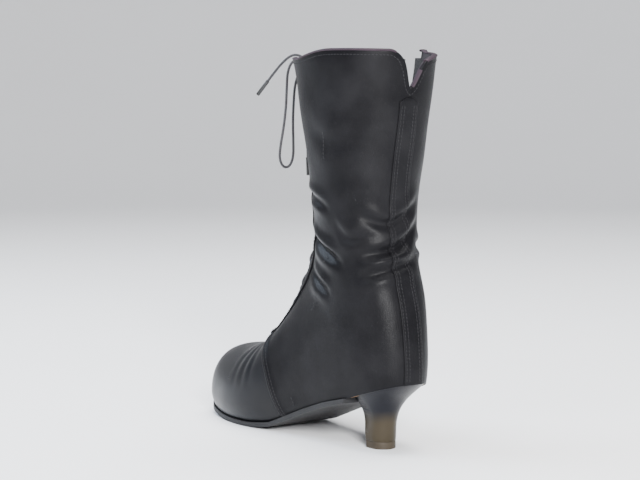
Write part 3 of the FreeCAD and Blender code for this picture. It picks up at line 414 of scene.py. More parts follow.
def contour(patch, values, shortest=6.0):
    """The lines on a patch where values are zero: points, normals and places, longest first."""
    half = clip(patch, values)
    edges = [(a, b) for a, b in open_edges(half) if a in half.fresh and b in half.fresh]
    lines = []
    for run in chains(edges):
        points = half.points[run]
        if np.sum(np.linalg.norm(np.diff(points, axis=0), axis=1)) >= shortest:
            lines.append((points, half.normals[run], half.places[run]))
    return sorted(lines, key=lambda line: -len(line[0]))


# ------------------------------------------------------------------------------- the leather's relief
# Creases on the shaft: angle round it from the back (outer side positive) and height at each end and
# in the middle, depth and half width, in degrees and millimetres.
CREASES = [
    ((152, 191), (122, 187), (92, 181), 1.5, 3.0),
    ((152, 160), (118, 149), (72, 141), 2.4, 3.6),
    ((146, 131), (120, 122), (96, 117), 1.7, 3.2),
    ((48, 176), (14, 167), (-30, 184), 2.0, 3.2),
    ((44, 147), (4, 150), (-32, 168), 2.3, 3.4),
    ((48, 130), (8, 138), (-26, 142), 1.8, 3.2),
    ((80, 166), (62, 158), (40, 160), 1.2, 3.4),
    ((-150, 186), (-120, 180), (-96, 182), 1.5, 3.0),
    ((-150, 152), (-116, 142), (-84, 138), 2.1, 3.4),
    ((-70, 158), (-58, 150), (-34, 153), 1.6, 3.0),
    ((-140, 124), (-110, 116), (-84, 120), 1.5, 3.2),
    ((112, 236), (80, 228), (50, 233), 0.7, 7.0),
]
# Flex lines across the vamp: distance from the heel, depth and half width.
FLEX = [(116, 0.5, 3.2), (127, 0.7, 3.6), (139, 0.45, 3.4)]


def angle_height(p):
    """Angle round the shaft from the back, outer side positive, in degrees; and height."""
    return np.degrees(np.arctan2(-p[:, 0], -(p[:, 1] - 20))), p[:, 2]


def crease_relief(p):
    angle, height = angle_height(p)
    radius = 38 * np.pi / 180
    total = np.zeros(len(p))
    for one, two, three, depth, width in CREASES:
        for shift in (-360, 0, 360):
            line = rounded_line([one, two, three], 0.45, 10)
            ax = (angle + shift) * radius
            d = signed_distance(ax, height, np.column_stack([line[:, 0] * radius, line[:, 1]]))
            middle = (one[0] + three[0]) / 2 * radius
            reach = abs(one[0] - three[0]) / 2 * radius
            fade = np.clip(1.25 - np.abs(ax - middle) / reach, 0, 1)
            fade = fade * fade * (3 - 2 * fade)
            valley = -np.exp(-(d / width) ** 2)
            lip = 0.75 * np.exp(-((d - 2.1 * width) / (1.3 * width)) ** 2)
            brow = 0.55 * np.exp(-((d + 2.1 * width) / (1.4 * width)) ** 2)
            total += depth * fade * (valley + lip + brow)
    return 1.3 * total * np.clip((p[:, 2] - 96) / 14, 0, 1)


def soft_waves(p):
    """Slow unevenness of worn leather, the same each run."""
    a = np.sin(p[:, 0] * 0.083 + p[:, 2] * 0.047 + 1.3) * np.sin(p[:, 2] * 0.061 - p[:, 1] * 0.052)
    b = np.sin(p[:, 1] * 0.11 + p[:, 2] * 0.09) * np.sin(p[:, 0] * 0.12 + p[:, 2] * 0.033 + 0.6)
    return 0.45 * a + 0.22 * b


def relief(p):
    """How far the leather stands out from the form, in millimetres."""
    high = np.clip((p[:, 2] - 70) / 60, 0, 1)
    total = crease_relief(p) + soft_waves(p) * (0.35 + 0.65 * high)
    over_ball = np.clip((p[:, 2] - 30) / 25, 0, 1) * (np.abs(p[:, 1] - 128) < 40)
    for place, depth, width in FLEX:
        bend = place + 0.0022 * p[:, 0] ** 2
        d = (p[:, 1] - bend) / width
        total += over_ball * depth * (0.7 * np.exp(-((d - 1.6) / 1.4) ** 2) - np.exp(-d * d))
    flare = np.clip((p[:, 2] - 270) / 30, 0, 1) ** 2
    return total * np.clip(above_feather(p) / 12, 0, 1) + 0.8 * flare


def standing(points, normals, depth):
    """Points of the form moved out by a depth and the leather's relief."""
    return points + normals * (relief(points) + depth)[:, None]


# ------------------------------------------------------------------------------- objects
def linked(name, data):
    """A new object with its data, in the scene."""
    item = bpy.data.objects.new(name, data)
    bpy.context.scene.collection.objects.link(item)
    return item


def from_bmesh(name, bm):
    mesh = bpy.data.meshes.new(name)
    bm.to_mesh(mesh)
    bm.free()
    return linked(name, mesh)


def outward(item, weld=False):
    """Turns the faces outwards, after welding points that meet if asked."""
    bm = bmesh.new()
    bm.from_mesh(item.data)
    if weld:
        bmesh.ops.remove_doubles(bm, verts=bm.verts, dist=1e-7)
    bmesh.ops.recalc_face_normals(bm, faces=bm.faces)
    bm.to_mesh(item.data)
    bm.free()
    return item


def mesh_object(name, points, faces, uv=None):
    mesh = bpy.data.meshes.new(name)
    mesh.from_pydata([tuple(p) for p in (np.asarray(points) * MM).tolist()], [], faces)
    mesh.validate()
    if uv is not None:
        layer = mesh.uv_layers.new(name="UVMap")
        corner = np.zeros(len(mesh.loops), int)
        mesh.loops.foreach_get("vertex_index", corner)
        layer.data.foreach_set("uv", np.asarray(uv, float)[corner].ravel())
    return linked(name, mesh)


def shade(item, angle=38):
    """Smooth faces, with edges sharper than an angle left crisp."""
    mesh = item.data
    for face in mesh.polygons:
        face.use_smooth = True
    mesh.set_sharp_from_angle(angle=math.radians(angle))
    return item


def dress(item, material):
    item.data.materials.clear()
    item.data.materials.append(material)
    return item


def rides(item, body, *nodes, slot=None):
    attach(item, body)
    if nodes:
        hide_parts(*nodes)
    return item


def within(patch, where, half):
    """A field that is positive where asked, nearer the middle plane than half."""
    return np.where(where, half - np.abs(patch.points[:, 0]), -9.0)


def sheet(name, node, patch, depths, finish, slot, depth_extra=None):
    """A patch of the skin as a sheet between two depths, with a rounded rim, in place of a node."""
    outer, inner = depths
    lift = relief(patch.points)
    extra = depth_extra(patch.points) if depth_extra else 0.0
    top = patch.points + patch.normals * (lift + outer + extra)[:, None]
    bottom = patch.points + patch.normals * (lift + inner + extra)[:, None]
    count = len(top)
    points = [top, bottom]
    uv = [patch.places, patch.places]
    faces = list(patch.faces) + [tuple(i + count for i in reversed(face)) for face in patch.faces]
    rim = open_edges(patch)
    aside = np.zeros((count, 3))
    for a, b in rim:
        run = patch.points[b] - patch.points[a]
        away = np.cross(run, patch.normals[a])
        away /= max(np.linalg.norm(away), 1e-9)
        aside[a] += away
        aside[b] += away
    border = sorted({i for edge in rim for i in edge})
    push = aside[border]
    push /= np.maximum(np.linalg.norm(push, axis=1), 1e-9)[:, None]
    half = (outer - inner) / 2
    turns = [math.radians(a) for a in (50, 0, -50)]
    rings = []
    for turn in turns:
        middle = (top[border] + bottom[border]) / 2
        ring_points = (middle + push * (half * 0.9 * math.cos(turn))
                       + patch.normals[border] * (half * math.sin(turn) * 1.05))
        rings.append({i: count * 2 + len(rings) * len(border) + k for k, i in enumerate(border)})
        points.append(ring_points)
        uv.append(patch.places[border])
    levels = [{i: i for i in border}] + rings + [{i: i + count for i in border}]
    for upper, lower in zip(levels, levels[1:]):
        faces += [(upper[b], upper[a], lower[a], lower[b]) for a, b in rim]
    item = shade(mesh_object(name, np.vstack(points), faces, np.vstack(uv) / (LAST, POINTS)), 60)
    rides(dress(item, SURFACES[finish]), "boot", node, slot=slot)


def soften(name, node, width, finish, slot, segments=2, body="boot"):
    """A CAD piece as one welded mesh with its edges rounded."""
    bm = bmesh.new()
    bm.from_mesh(bpy.data.objects[node].data)
    bmesh.ops.remove_doubles(bm, verts=bm.verts, dist=1e-6)
    bmesh.ops.dissolve_limit(bm, angle_limit=math.radians(1.0), verts=bm.verts, edges=bm.edges)
    sharp = [e for e in bm.edges if e.is_manifold and e.calc_face_angle(0) > SHARP_EDGE]
    if width:
        bmesh.ops.bevel(bm, geom=sharp, offset=width * MM, segments=segments, profile=0.6,
                        affect="EDGES", clamp_overlap=True)
    bmesh.ops.triangulate(bm, faces=[f for f in bm.faces if len(f.verts) > 4])
    item = dress(shade(from_bmesh(name, bm), 35), SURFACES[finish])
    return rides(item, body, node, slot=slot)


def sweep(name, line, radius, sides, normals=None, flat=1.0):
    """A cord of round or flattened section along a line, with UVs: round it and along it in mm."""
    line = np.asarray(line, float)
    count = len(line)
    tangent = np.gradient(line, axis=0)
    tangent /= np.maximum(np.linalg.norm(tangent, axis=1), 1e-9)[:, None]
    if normals is None:
        up = np.zeros_like(line)
        start = np.cross(tangent[0], (1.0, 0.2, 0.1))
        up[0] = start / np.linalg.norm(start)
        for k in range(1, count):
            here = up[k - 1] - tangent[k] * np.dot(up[k - 1], tangent[k])
            up[k] = here / np.linalg.norm(here)
    else:
        up = normals - tangent * np.sum(normals * tangent, axis=1)[:, None]
        up /= np.linalg.norm(up, axis=1)[:, None]
    side = np.cross(tangent, up)
    lengths = np.concatenate([[0], np.cumsum(np.linalg.norm(np.diff(line, axis=0), axis=1))])
    points, uv = [], []
    for k in range(sides + 1):
        turn = 2 * math.pi * k / sides
        points.append(line + up * (radius * flat * math.cos(turn)) + side * (radius * math.sin(turn)))
        uv.append(np.column_stack([np.full(count, k / sides), lengths]))
    points = np.stack(points, axis=1)
    uv = np.stack(uv, axis=1).reshape(-1, 2)
    index = np.arange(count * (sides + 1)).reshape(count, sides + 1)
    faces = []
    for near, far in zip(index.tolist(), index[1:].tolist()):
        faces += [(near[k], near[k + 1], far[k + 1], far[k]) for k in range(sides)]
    faces.append(tuple(index[0, :sides][::-1].tolist()))
    faces.append(tuple(index[-1, :sides].tolist()))
    return shade(outward(mesh_object(name, points.reshape(-1, 3), faces, uv), weld=True), 60)


def along_nurbs(points, per_run=12):
    """Dense points of the smooth curve whose control points are given."""
    curve = bpy.data.curves.new("path", "CURVE")
    curve.dimensions = "3D"
    curve.resolution_u = per_run
    spline = curve.splines.new("NURBS")
    spline.points.add(len(points) - 1)
    for point, place in zip(spline.points, points):
        point.co = (*place, 1.0)
    spline.order_u = 3
    spline.use_endpoint_u = True
    holder = linked("path", curve)
    bpy.context.view_layer.update()
    mesh = bpy.data.meshes.new_from_object(holder)
    out = np.array([v.co[:] for v in mesh.vertices])
    bpy.data.objects.remove(holder)
    bpy.data.curves.remove(curve)
    bpy.data.meshes.remove(mesh)
    return out


# ------------------------------------------------------------------------------- materials
class Nodes:
    """A short way to write a material's node tree."""

    def __init__(self, name):
        self.surface = bpy.data.materials.new(name)
        self.surface.use_nodes = True
        self.tree = self.surface.node_tree
        self.shader = self.tree.nodes["Principled BSDF"]
        self.place = self.new("ShaderNodeTexCoord").outputs["Object"]

    def new(self, kind, **settings):
        node = self.tree.nodes.new(kind)
        for key, value in settings.items():
            setattr(node, key, value)
        return node

    def link(self, start, end):
        self.tree.links.new(start, end)
        return end

    def noise(self, scale, detail=3.0, rough=0.5, source=None, stretch=None):
        node = self.new("ShaderNodeTexNoise")
        node.inputs["Scale"].default_value = scale
        node.inputs["Detail"].default_value = detail
        node.inputs["Roughness"].default_value = rough
        source = source or self.place
        if stretch:
            mapping = self.new("ShaderNodeMapping")
            mapping.inputs["Scale"].default_value = stretch
            self.link(source, mapping.inputs["Vector"])
            source = mapping.outputs["Vector"]
        self.link(source, node.inputs["Vector"])
        return node.outputs["Fac"]

    def ramp(self, value, stops):
        node = self.new("ShaderNodeValToRGB")
        ramp = node.color_ramp
        while len(ramp.elements) < len(stops):
            ramp.elements.new(0.5)
        for element, (place, colour) in zip(ramp.elements, stops):
            element.position = place
            element.color = (*colour, 1) if isinstance(colour, tuple) else (colour, colour, colour, 1)
        self.link(value, node.inputs["Fac"])
        return node.outputs["Color"]

    def mix(self, factor, a, b):
        node = self.new("ShaderNodeMix", data_type="RGBA")
        self.give(node.inputs[0], factor)
        self.give(node.inputs[6], a)
        self.give(node.inputs[7], b)
        return node.outputs[2]

    def math(self, kind, a, b=0.0):
        node = self.new("ShaderNodeMath", operation=kind)
        self.give(node.inputs[0], a)
        self.give(node.inputs[1], b)
        return node.outputs[0]

    def give(self, socket, value):
        if isinstance(value, bpy.types.NodeSocket):
            self.link(value, socket)
        elif isinstance(value, tuple):
            socket.default_value = (*value, 1)
        else:
            socket.default_value = value

    def bump(self, height, distance, strength=1.0, below=None):
        node = self.new("ShaderNodeBump")
        node.inputs["Strength"].default_value = strength
        node.inputs["Distance"].default_value = distance
        self.link(height, node.inputs["Height"])
        if below is not None:
            self.link(below, node.inputs["Normal"])
        return node.outputs["Normal"]

    def finish(self, colour, rough, normal=None, **constants):
        self.give(self.shader.inputs["Base Color"], colour)
        self.give(self.shader.inputs["Roughness"], rough)
        if normal is not None:
            self.link(normal, self.shader.inputs["Normal"])
        for key, value in constants.items():
            self.shader.inputs[key.replace("_", " ").title().replace("Ior", "IOR")].default_value = value
        return self.surface


def grain(n, scale, distance, strength=0.5):
    """Leather grain: small cells between fine wrinkles."""
    cells = n.new("ShaderNodeTexVoronoi", feature="DISTANCE_TO_EDGE")
    cells.inputs["Scale"].default_value = scale
    n.link(n.place, cells.inputs["Vector"])
    soft = n.ramp(cells.outputs["Distance"], [(0.0, 0.0), (0.22, 1.0)])
    fine = n.noise(scale * 2.4, 2.0)
    wrinkle = n.noise(scale * 0.22, 4.0, 0.6)
    height = n.math("ADD", n.math("MULTIPLY", soft, 0.6), n.math("MULTIPLY", fine, 0.5))
    first = n.bump(height, distance, strength)
    return n.bump(wrinkle, distance * 3.0, strength * 0.6, first)


def make_leather(name, dark, light, rough, grain_scale=850, coat=0.0, distance=0.00012, shine=0.07):
    n = Nodes(name)
    cloud = n.noise(28, 4.0)
    colour = n.mix(n.ramp(cloud, [(0.35, 0.0), (0.75, 1.0)]), dark, light)
    wear = n.ramp(n.noise(120, 5.0, 0.7), [(0.62, 0.0), (0.8, 1.0)])
    colour = n.mix(n.math("MULTIPLY", wear, 0.2), colour, tuple(min(1, c * 2.4 + 0.004) for c in light))
    rough_map = n.math("ADD", n.math("MULTIPLY", n.noise(45, 4.0), 0.22), rough - 0.11)
    normal = grain(n, grain_scale, distance)
    return n.finish(colour, rough_map, normal, specular_ior_level=shine, coat_weight=coat,
                    coat_roughness=0.32)


def make_fabric(name, dark, light, thread=0.0007, distance=0.00012):
    """Plain weave: two sets of threads that cross."""
    n = Nodes(name)
    waves = []
    for axis in "XZ":
        wave = n.new("ShaderNodeTexWave", wave_type="BANDS", bands_direction=axis)
        wave.inputs["Scale"].default_value = 0.5 / thread
        n.link(n.place, wave.inputs["Vector"])
        waves.append(wave.outputs["Fac"])
    weave = n.math("MULTIPLY", waves[0], waves[1])
    cloud = n.noise(40, 3.0)
    tone = n.math("ADD", n.math("MULTIPLY", weave, 0.6), n.math("MULTIPLY", cloud, 0.4))
    colour = n.mix(tone, dark, light)
    return n.finish(colour, 0.85, n.bump(weave, distance, 0.7), sheen_weight=0.05, sheen_roughness=0.5,
                    specular_ior_level=0.2)


def make_braid(name, dark, light, turns=3.0, pitch=2.2):
    """A braided cord: strands cross along UVs that run round the cord and along it in millimetres."""
    n = Nodes(name)
    uv = n.new("ShaderNodeTexCoord").outputs["UV"]
    parts = n.new("ShaderNodeSeparateXYZ")
    n.link(uv, parts.inputs[0])
    strands = []
    for direction in (1, -1):
        phase = n.math("ADD", n.math("MULTIPLY", parts.outputs[0], turns * direction * 6.2832),
                       n.math("MULTIPLY", parts.outputs[1], 6.2832 / pitch))
        strands.append(n.math("ABSOLUTE", n.math("SINE", phase)))
    height = n.math("MAXIMUM", strands[0], strands[1])
    colour = n.mix(n.ramp(height, [(0.3, 0.0), (0.95, 1.0)]), dark, light)
    return n.finish(colour, 0.62, n.bump(height, 0.00018, 0.8), specular_ior_level=0.4)


def make_metal(name, colour, rough, scratch=0.25):
    n = Nodes(name)
    fine = n.noise(900, 3.0, 0.6, stretch=(1, 1, 0.12))
    tarnish = n.noise(160, 4.0)
    tone = n.mix(n.ramp(tarnish, [(0.4, 0.0), (0.8, 1.0)]), colour, tuple(c * 0.6 for c in colour))
    rough_map = n.math("ADD", n.math("MULTIPLY", fine, scratch), rough - scratch / 2)
    return n.finish(tone, rough_map, n.bump(fine, 0.00002, 0.4), metallic=1.0)


def make_plastic(name, dark, light, rough, scale=300, distance=0.00006):
    n = Nodes(name)
    mottle = n.noise(scale, 4.0)
    colour = n.mix(n.ramp(n.noise(60, 3.0), [(0.3, 0.0), (0.8, 1.0)]), dark, light)
    rough_map = n.math("ADD", n.math("MULTIPLY", mottle, 0.2), rough - 0.1)
    return n.finish(colour, rough_map, n.bump(mottle, distance, 0.5), specular_ior_level=0.25)


def make_heel_with_painted_light(name, upper, lower):
    """The covered heel with painted light: black under the seat as painted shade, lighter and brown-grey
    towards the tip as painted light and a painted brown reflection.
    """
    n = Nodes(name)
    parts = n.new("ShaderNodeSeparateXYZ")
    n.link(n.place, parts.inputs[0])
    wobble = n.math("MULTIPLY", n.noise(60, 3.0), 0.006)
    level = n.math("ADD", parts.outputs[2], wobble)
    # Height ramp: painted shade under the seat, painted light and a painted brown reflection towards the tip.
    colour = n.mix(n.ramp(n.math("MULTIPLY", level, 20.0), [(0.44, 0.0), (0.66, 1.0)]), lower, upper)
    rough_map = n.math("ADD", n.math("MULTIPLY", n.noise(90, 4.0), 0.18), 0.22)
    return n.finish(colour, rough_map, grain(n, 1100, 0.00006, 0.35), specular_ior_level=0.15)


def make_cork(name):
    n = Nodes(name)
    cells = n.new("ShaderNodeTexVoronoi")
    cells.inputs["Scale"].default_value = 500
    n.link(n.place, cells.inputs["Vector"])
    tone = n.mix(n.ramp(cells.outputs["Distance"], [(0.1, 0.0), (0.6, 1.0)]), (0.42, 0.26, 0.13),
                 (0.2, 0.11, 0.05))
    return n.finish(tone, 0.8, n.bump(cells.outputs["Distance"], 0.0002, 0.6))


SURFACES = {}


# ------------------------------------------------------------------------------- repeats
def new_tree(name, inputs):
    """A geometry tree with named inputs (name, socket type, default) and one output."""
    tree = bpy.data.node_groups.new(name, "GeometryNodeTree")
    tree.interface.new_socket("Geometry", in_out="INPUT", socket_type="NodeSocketGeometry")
    tree.interface.new_socket("Geometry", in_out="OUTPUT", socket_type="NodeSocketGeometry")
    for label, kind, default in inputs:
        socket = tree.interface.new_socket(label, in_out="INPUT", socket_type=kind)
        if default is not None:
            socket.default_value = default
    return tree, tree.nodes.new("NodeGroupInput"), tree.nodes.new("NodeGroupOutput")


def finish_tree(tree, start, end, points, rotation):
    """Sets the piece on the points, turns it, makes it real and gives it its material."""
    n, link = tree.nodes.new, tree.links.new
    info, place = n("GeometryNodeObjectInfo"), n("GeometryNodeInstanceOnPoints")
    real, finish = n("GeometryNodeRealizeInstances"), n("GeometryNodeSetMaterial")
    link(start.outputs["Piece"], info.inputs["Object"])
    link(points, place.inputs["Points"])
    link(info.outputs["Geometry"], place.inputs["Instance"])
    link(rotation, place.inputs["Rotation"])
    link(place.outputs[0], real.inputs[0])
    link(real.outputs[0], finish.inputs["Geometry"])
    link(start.outputs["Finish"], finish.inputs["Material"])
    link(finish.outputs[0], end.inputs[0])
    return place


def out_vectors(tree):
    node = tree.nodes.new("GeometryNodeInputNamedAttribute")
    node.data_type = "FLOAT_VECTOR"
    node.inputs["Name"].default_value = "out"
    return node.outputs["Attribute"]


def row_tree():
    """Copies of a piece at even steps along lines, X along the line and Z on the "out" vectors."""
    if "Row along a line" in bpy.data.node_groups:
        return bpy.data.node_groups["Row along a line"]
    tree, start, end = new_tree("Row along a line", [
        ("Piece", "NodeSocketObject", None), ("Pitch", "NodeSocketFloat", 0.003),
        ("Length", "NodeSocketFloat", 1.0), ("Finish", "NodeSocketMaterial", None)])
    n, link = tree.nodes.new, tree.links.new
    curve, steps = n("GeometryNodeMeshToCurve"), n("GeometryNodeResampleCurve")
    steps.mode = "LENGTH"
    link(start.outputs["Geometry"], curve.inputs[0])
    link(curve.outputs[0], steps.inputs["Curve"])
    link(start.outputs["Pitch"], steps.inputs["Length"])
    along, up = n("FunctionNodeAlignRotationToVector"), n("FunctionNodeAlignRotationToVector")
    along.axis, up.axis, up.pivot_axis = "X", "Z", "X"
    link(n("GeometryNodeInputTangent").outputs[0], along.inputs["Vector"])
    link(along.outputs[0], up.inputs["Rotation"])
    link(out_vectors(tree), up.inputs["Vector"])
    place = finish_tree(tree, start, end, steps.outputs[0], up.outputs[0])
    stretch = n("ShaderNodeCombineXYZ")
    stretch.inputs["Y"].default_value = stretch.inputs["Z"].default_value = 1.0
    link(start.outputs["Length"], stretch.inputs["X"])
    link(stretch.outputs[0], place.inputs["Scale"])
    return tree


def point_tree():
    """Copies of a piece on the vertices of a mesh, Z on the "out" vectors."""
    if "Pieces on points" in bpy.data.node_groups:
        return bpy.data.node_groups["Pieces on points"]
    tree, start, end = new_tree("Pieces on points", [
        ("Piece", "NodeSocketObject", None), ("Finish", "NodeSocketMaterial", None)])
    up = tree.nodes.new("FunctionNodeAlignRotationToVector")
    up.axis = "Z"
    tree.links.new(out_vectors(tree), up.inputs["Vector"])
    finish_tree(tree, start, end, start.outputs["Geometry"], up.outputs[0])
    return tree


def grow(name, tree, lines, values, nodes=(), slot=None):
    """Runs a geometry tree over lines of (points, normals), in millimetres, and keeps a plain mesh."""
    points, normals, edges = [], [], []
    for line, out in lines:
        first = len(points)
        points += [tuple(p) for p in (np.asarray(line) * MM).tolist()]
        normals += [tuple(n) for n in np.asarray(out).tolist()]
        if tree.name != "Pieces on points":
            edges += [(k, k + 1) for k in range(first, len(points) - 1)]
    mesh = bpy.data.meshes.new(name + "_guide")
    mesh.from_pydata(points, edges, [])
    mesh.attributes.new("out", "FLOAT_VECTOR", "POINT").data.foreach_set("vector", np.array(normals).ravel())
    guide = linked(name + "_guide", mesh)
    modifier = guide.modifiers.new("rows", "NODES")
    modifier.node_group = tree
    sockets = {item.name: item.identifier for item in tree.interface.items_tree
               if getattr(item, "in_out", "") == "INPUT"}
    for label, value in values.items():
        modifier[sockets[label]] = value
    bpy.context.view_layer.update()
    done = bpy.data.meshes.new_from_object(guide.evaluated_get(bpy.context.evaluated_depsgraph_get()))
    guide.modifiers.clear()
    bpy.data.objects.remove(guide)
    bpy.data.objects.remove(values["Piece"])
    if "out" in done.attributes:
        done.attributes.remove(done.attributes["out"])
    if len(done.vertices) == 0:
        raise RuntimeError(name + " grew nothing")
    return rides(shade(linked(name, done), 50), "boot", *nodes, slot=slot)


def tube_unit(name, rings):
    """A closed tube through rings of points, in millimetres."""
    bm = bmesh.new()
    loops = [[bm.verts.new(tuple(c * MM for c in point)) for point in ring_points] for ring_points in rings]
    for one, two in zip(loops, loops[1:]):
        for k, corner in enumerate(one):
            after = (k + 1) % len(one)
            bm.faces.new((corner, two[k], two[after], one[after]))
    bm.faces.new(loops[0])
    bm.faces.new(loops[-1][::-1])
    bmesh.ops.recalc_face_normals(bm, faces=bm.faces)
    return from_bmesh(name, bm)


SIXTHS = [math.pi * k / 3 for k in range(6)]


def thread_unit(length, thick):
    """One stitch: a short thread that dips into the leather at both ends."""
    return tube_unit("stitch_unit", [
        [(place * length, math.cos(a) * thick * size, (math.sin(a) * 0.8 * size + sink) * thick)
         for a in SIXTHS]
        for place, size, sink in ((-0.5, 0.35, -0.55), (-0.36, 0.9, -0.05), (0.0, 1.0, 0.2),
                                  (0.36, 0.9, -0.05), (0.5, 0.35, -0.55))])


def stitch_rows(name, lines, sewing, slot="shaft_leather"):
    unit = thread_unit(sewing.stitch_length / MM, sewing.thread / 2 / MM)
    grow(name, row_tree(), lines, {"Piece": unit, "Pitch": sewing.stitch_pitch, "Length": 1.0,
                                   "Finish": SURFACES["thread"]}, slot=slot)


# ------------------------------------------------------------------------------- where things are
FOOT = np.array([32.458095, 25.0, 146.0])
ZIP_UP = np.array([0.0966575, 0.0, 0.9953177])
ZIP_OUT = np.array([0.9953177, 0.0, -0.0966575])
ZIP_OPEN, ZIP_LONG, ZIP_SLIT, ZIP_SPREAD = 59.274, 142.66, 5.0, 6.5
COIL_PITCH = 1.2 * MM


def zip_at(out, across, up):
    return FOOT + ZIP_OUT * out + np.array([0, 1.0, 0]) * across + ZIP_UP * up


def zip_spread(s):
    return ZIP_SPREAD * np.maximum(0, s - ZIP_OPEN) / (ZIP_LONG - ZIP_OPEN)


def outside_slit(p, half=ZIP_SLIT, foot=-4.5):
    """Distance from the zip's slit, whose foot is round."""
    s = (p - FOOT) @ ZIP_UP
    across = p[:, 1] - 25
    away = np.where(s < foot + half, np.hypot(across, s - foot - half), np.abs(across))
    wide = half + zip_spread(s) * 1.15
    return np.where(p[:, 0] > 5, away - wide, 99.0)


def outside_throat(p, half=THROAT):
    return np.where(is_front(p), np.abs(p[:, 0]) - half, 99.0)


PARTS = {}


def formed(name):
    """The cut patches of the upper, worked out once."""
    if not PARTS:
        trimmed = base_patch()
        trimmed = clip(trimmed, above_feather(trimmed.points))
        trimmed = clip(trimmed, below_collar(trimmed.points))
        PARTS["vamp"] = clip(trimmed, 4.0 - behind_vamp(trimmed.points))
        quarters = clip(trimmed, behind_vamp(trimmed.points))
        PARTS["facings"] = clip(quarters, outside_throat(quarters.points))
        shell = PARTS["facings"]
        PARTS["outer"] = clip(shell, -0.15 - shell.points[:, 0])
        inner = clip(shell, shell.points[:, 0] - 0.15)
        PARTS["slitless"] = inner
        inner = clip(inner, outside_slit(inner.points))
        PARTS["inner_front"] = clip(inner, inner.points[:, 1] - 25.1)
        PARTS["inner_rear"] = clip(inner, 24.9 - inner.points[:, 1])
    return PARTS[name]


def lap(p):
    """How much higher a quarter lies where it laps over the vamp."""
    share = np.clip((7.0 - behind_vamp(p)) / 6.0, 0, 1)
    return 1.45 * share * share * (3 - 2 * share)


def lapped(points, normals, depth):
    return points + normals * (relief(points) + lap(points) + depth)[:, None]


def seam_lines(patch, field, depth, keep=None, lift=lapped, shortest=6.0):
    """Lines on a patch where a field is zero, at a depth over the leather."""
    out = []
    for points, normals, _ in contour(patch, field(patch.points), shortest):
        if keep is not None:
            inside = keep(points)
            runs = np.flatnonzero(np.diff(np.concatenate([[0], inside.astype(int), [0]])))
            for a, b in zip(runs[::2], runs[1::2]):
                if b - a > 4:
                    out.append((lift(points[a:b], normals[a:b], depth), normals[a:b]))
        else:
            out.append((lift(points, normals, depth), normals))
    return out


def smooth_line(points, passes=3):
    points = np.array(points, float)
    for _ in range(passes):
        points[1:-1] = points[1:-1] * 0.5 + (points[:-2] + points[2:]) * 0.25
    return points


LACING = {}
EYELET_ROWS, EYELET_END_GAP, KNOT_LIFT = 10, 10, 7.6


def lacing():
    """Rows of the net that carry the eyelets, and the knot's place."""
    if not LACING:
        rows = np.arange(0, 4 * int(LAST) + 1) * 0.25
        front = np.array([on_skin(r, 0.0)[0] for r in rows])
        steps = np.concatenate([[0], np.cumsum(np.linalg.norm(np.diff(front, axis=0), axis=1))])
        begun = next(s for s, p in zip(steps, front) if p[1] < 100 and behind_vamp(p[None])[0] > 0)
        collar = next(s for s, p in zip(steps, front) if p[1] < 100 and below_collar(p[None])[0] < 0)
        first = begun + EYELET_END_GAP
        pitch = (collar - EYELET_END_GAP - first) / (EYELET_ROWS - 1)
        LACING["rows"] = [float(np.interp(first + k * pitch, steps, rows)) for k in range(EYELET_ROWS)]
        knot_row = float(np.interp(collar - 8, steps, rows))
        seat, normal = on_skin(knot_row, 0.0)
        LACING["knot"] = seat + normal * KNOT_LIFT
    return LACING


EYELET_X = THROAT + FACING / 2 - 0.3
LACE_IN, LACE_OUT, CROSSING_DROP = -5.6, 4.4, 1.9


def eyelet_seats():
    seats = [on_skin(r, s * EYELET_X) for r in lacing()["rows"] for s in (-1, 1)]
    points, normals = np.array([p for p, _ in seats]), np.array([n for _, n in seats])
    return lapped(points, normals, 0.0), normals


def lace_route(start_side):
    """Control points of one half of the lace, from the middle of the lowest bar to the knot."""
    rows = lacing()["rows"]

    def at(row, x, depth):
        point, normal = on_skin(row, x)
        return lapped(point[None], normal[None], depth)[0]

    middle = at(rows[0], 0.001, LACE_IN)
    points = [np.array([0.0, *middle[1:]]), np.array([start_side * 4.0, *middle[1:]])]
    side = start_side
    for k, row in enumerate(rows):
        points += [at(row, side * EYELET_X, LACE_IN), at(row, side * EYELET_X, LACE_OUT)]
        if k == len(rows) - 1:
            break
        over = (k % 2 == 0) == (start_side < 0)
        crest, lift = on_skin((row + rows[k + 1]) / 2, 0.0)
        height = LACE_OUT - CROSSING_DROP + (LACE + CROSSING_DROP if over else 0)
        across = lift * height + crest
        points += [across + np.array([side * 2.2, 0, -0.6]), across + np.array([-side * 2.2, 0, 0.6])]
        points.append(at(row + (rows[k + 1] - row) * 0.7, -side * (THROAT - LACE / 2 - 1.3), LACE_IN + 0.2))
        side = -side
    points.append(lacing()["knot"] + np.array([side * 4.3, -0.5, 0]))
    return np.array(points)


# ------------------------------------------------------------------------------- settings
def colour(name, text, value):
    return bpy.props.FloatVectorProperty(name=name, description=text, subtype="COLOR", size=3, min=0, max=1,
                                         default=value)


def length(name, text, value):
    return bpy.props.FloatProperty(name=name, description=text, default=value, unit="LENGTH", min=0)


def share(name, text, value, top=1.0):
    return bpy.props.FloatProperty(name=name, description=text, default=value, subtype="FACTOR", min=0,
                                   max=top)


class BootLeatherSettings(bpy.types.PropertyGroup):
    shaft: colour("Shaft", "Colour of the soft leather of the shaft", (0.0035, 0.0034, 0.0042))
    # The vamp's near-black is the leather's own; its extra blue over the shaft's colour is a painted blue
    # reflection on the toe.
    vamp: colour("Vamp", "Colour of the smoother leather over the toes", (0.0035, 0.0039, 0.0056))
    worn: colour("Worn", "Colour of the raised, rubbed grain", (0.0100, 0.0098, 0.0110))
    lining: colour("Lining", "Colour of the woven lining", (0.013, 0.011, 0.0145))
    # The binding is the same dark leather, made lighter and purple-blue by a painted reflection of the sky
    # along the collar's edge.
    rim: colour("Rim", "Colour of the collar's binding", (0.026, 0.018, 0.024))
    roughness: share("Roughness", "Middle roughness of the shaft's leather", 0.37)
    rim_width: length("Rim width", "Width of the binding along the collar", 0.0021)


